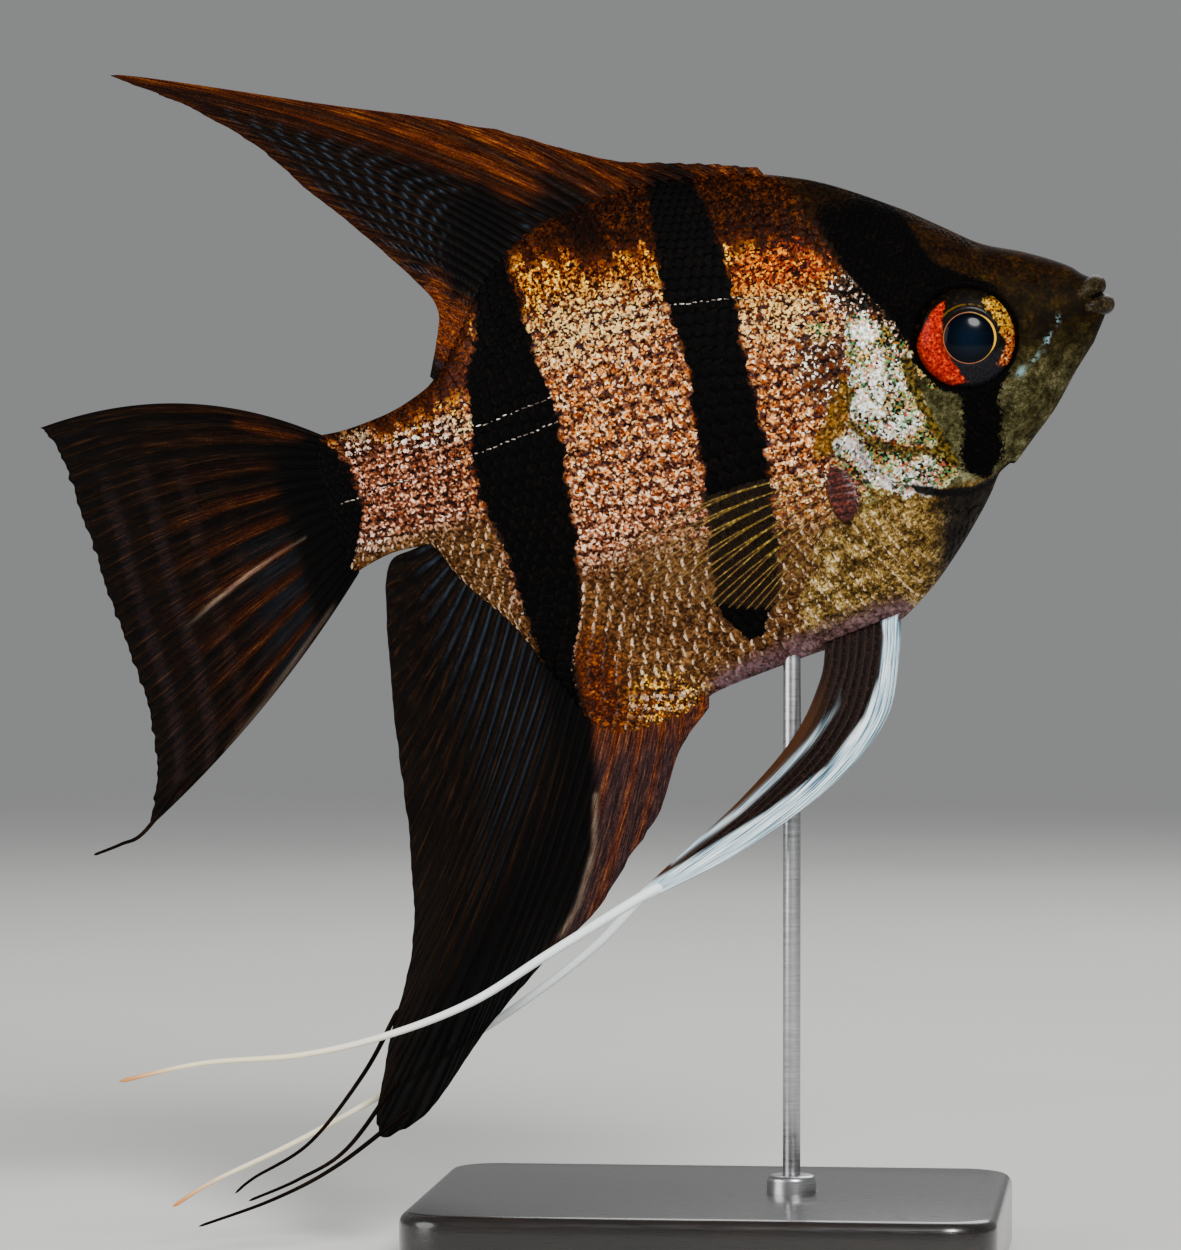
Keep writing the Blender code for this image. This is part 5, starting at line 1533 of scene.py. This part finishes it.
def resize(size, shift):
    """Gives a new piece its size and puts its middle in place."""
    bpy.ops.object.mode_set(mode="EDIT")
    bpy.ops.mesh.select_all(action="SELECT")
    bpy.ops.transform.resize(value=size)
    bpy.ops.transform.translate(value=shift)
    bpy.ops.object.mode_set(mode="OBJECT")


def shape_part(size, shift, *bevels):
    """Sizes and places the new piece and rounds its edges.

    Each bevel has its radius, its steps and a test that the heights of an edge's ends have to pass.
    """
    part = bpy.context.object
    resize(size, shift)
    for radius, steps, wanted in bevels:
        bpy.ops.object.mode_set(mode="EDIT")
        bpy.ops.mesh.select_mode(type="EDGE")
        bpy.ops.mesh.select_all(action="DESELECT")
        bpy.ops.object.mode_set(mode="OBJECT")
        for edge in part.data.edges:
            edge.select = wanted(*(part.data.vertices[i].co.z for i in edge.vertices))
        bpy.ops.object.mode_set(mode="EDIT")
        bpy.ops.mesh.bevel(offset=radius, segments=steps)
        bpy.ops.object.mode_set(mode="OBJECT")
    bpy.ops.object.shade_smooth_by_angle(angle=math.radians(30))
    part.select_set(False)
    return part


bpy.ops.mesh.primitive_cube_add(size=1)
base = shape_part(
    BASE_SIZE, (0, 0, BASE_SIZE[2] / 2),
    (0.006, 12, lambda a, b: abs(a - b) > NEAR),
    (0.0013, 5, lambda a, b: min(a, b) > BASE_SIZE[2] - NEAR),
    (0.0004, 2, lambda a, b: max(a, b) < NEAR),
)

lacquer = Finish("black_lacquer", Coat_Weight=0.6, Coat_Roughness=0.12, Specular_IOR_Level=0.5)
grain_place = lacquer.place((60.0, 900.0, 900.0))
wood = lacquer.grain(grain_place, 1.0, 4.0, 0.6)
pores = lacquer.grain(lacquer.place((250.0, 4000.0, 4000.0)), 1.0, 2.0, 0.5)
lacquer.coat(
    Base_Color=lacquer.shades(wood, (0.3, 9, 7, 6), (0.55, 20, 14, 11), (0.75, 40, 26, 18)),
    Roughness=0.30 + (pores - 0.5) * 0.25,
    Normal=lacquer.bump(pores.between(0.35, 0.5), 0.25, 0.02),
)
hand_over(base, "stand_plinth", lacquer.material, "base_lacquer", "stand_base")

steel = Finish("brushed_steel", Metallic=1.0)
brushed = steel.grain(steel.place((300.0, 300.0, 4000.0)), 1.0, 3.0, 0.6)
steel.coat(
    Base_Color=steel.shades(brushed, (0.3, 160, 160, 162), (0.7, 192, 192, 194)),
    Roughness=0.30 + (brushed - 0.5) * 0.16,
    Normal=steel.bump(brushed, 0.06, 0.005),
)
bpy.ops.mesh.primitive_cylinder_add(vertices=48, radius=ROD_RADIUS, depth=1)
rod_size, rod_place = (1, 1, rod_high[2] - rod_low[2]), (rod_x, 0, (rod_high[2] + rod_low[2]) / 2)
rod = shape_part(rod_size, rod_place, (0.0002, 3, lambda a, b: abs(a - b) < NEAR))
hand_over(rod, "stand_pin", steel.material, "rod_steel", "stand_rod")

bpy.ops.mesh.primitive_cylinder_add(vertices=64, radius=COLLAR_RADIUS, depth=COLLAR_HEIGHT)
top = BASE_SIZE[2] + COLLAR_HEIGHT
ring_place = (rod_x, 0, BASE_SIZE[2] + COLLAR_HEIGHT / 2)
ring = shape_part((1, 1, 1), ring_place, (0.0006, 6, lambda a, b: min(a, b) > top - NEAR))
hand_over(ring, "stand_ring", steel.material, "rod_steel", "stand_collar")


# ---- The floor, the lights and the camera. A plain pale floor lies under three wide soft lights
# in a grey room. The camera stands on the fish's right, a little above the level of its middle.
bpy.ops.mesh.primitive_plane_add(size=1)
floor = bpy.context.object
floor.name = "floor"
resize((6, 6, 1), (0, 0, 0))
# The sheet fades out far from the stand, so that no line shows where it ends.
paper = Finish("floor_paper", Roughness=0.9, Specular_IOR_Level=0.2)
from_stand = paper.place((1.0, 1.0, 0.0))
span = paper.node("VectorMath", {"operation": "LENGTH"}, out="Value", Vector=from_stand)
paper_grain = paper.grain(paper.place((3, 3, 3)), 2.0)
paper.coat(
    Base_Color=paper.shades(paper_grain, (0.3, 214, 213, 210), (0.7, 222, 221, 218)),
    Alpha=span.between(1.3, 0.25),
)
floor.data.materials.append(paper.material)

room = bpy.data.worlds.new("room")
bpy.context.scene.world = room
room.use_nodes = True
room.node_tree.nodes["Background"].inputs["Color"].default_value = (0.86, 0.87, 0.88, 1)
room.node_tree.nodes["Background"].inputs["Strength"].default_value = 0.30


def soft_light(name, place, aim, size, power):
    data = bpy.data.lights.new(name, "AREA")
    data.shape, data.size, data.energy = "DISK", size, power
    light = bpy.data.objects.new(name, data)
    light.location = place
    light.rotation_euler = (Vector(aim) - Vector(place)).to_track_quat("-Z", "Y").to_euler()
    bpy.context.scene.collection.objects.link(light)


MIDDLE = (-0.014, 0.0, 0.0721)
soft_light("key_light", (0.28, -0.60, 0.50), MIDDLE, 0.25, 8.5)
soft_light("fill_light", (-0.65, -0.40, 0.25), MIDDLE, 0.6, 3.6)
soft_light("rim_light", (0.1, 0.55, 0.50), MIDDLE, 0.5, 2.6)

CAMERA_TURN, CAMERA_RISE, CAMERA_AWAY = math.radians(6.0), math.radians(1.5), 0.70
VIEW_HEIGHT = 0.1415
camera_data = bpy.data.cameras.new("camera")
camera = bpy.data.objects.new("camera", camera_data)
bpy.context.scene.collection.objects.link(camera)
level = math.cos(CAMERA_RISE)
back = Vector((math.sin(CAMERA_TURN) * level, -math.cos(CAMERA_TURN) * level, math.sin(CAMERA_RISE)))
camera.location = Vector(MIDDLE) + back * CAMERA_AWAY
camera.rotation_euler = back.to_track_quat("Z", "Y").to_euler()
camera_data.sensor_fit = "VERTICAL"
camera_data.angle = 2 * math.atan(VIEW_HEIGHT / 2 / CAMERA_AWAY)
camera_data.clip_start = 0.01
bpy.context.scene.camera = camera
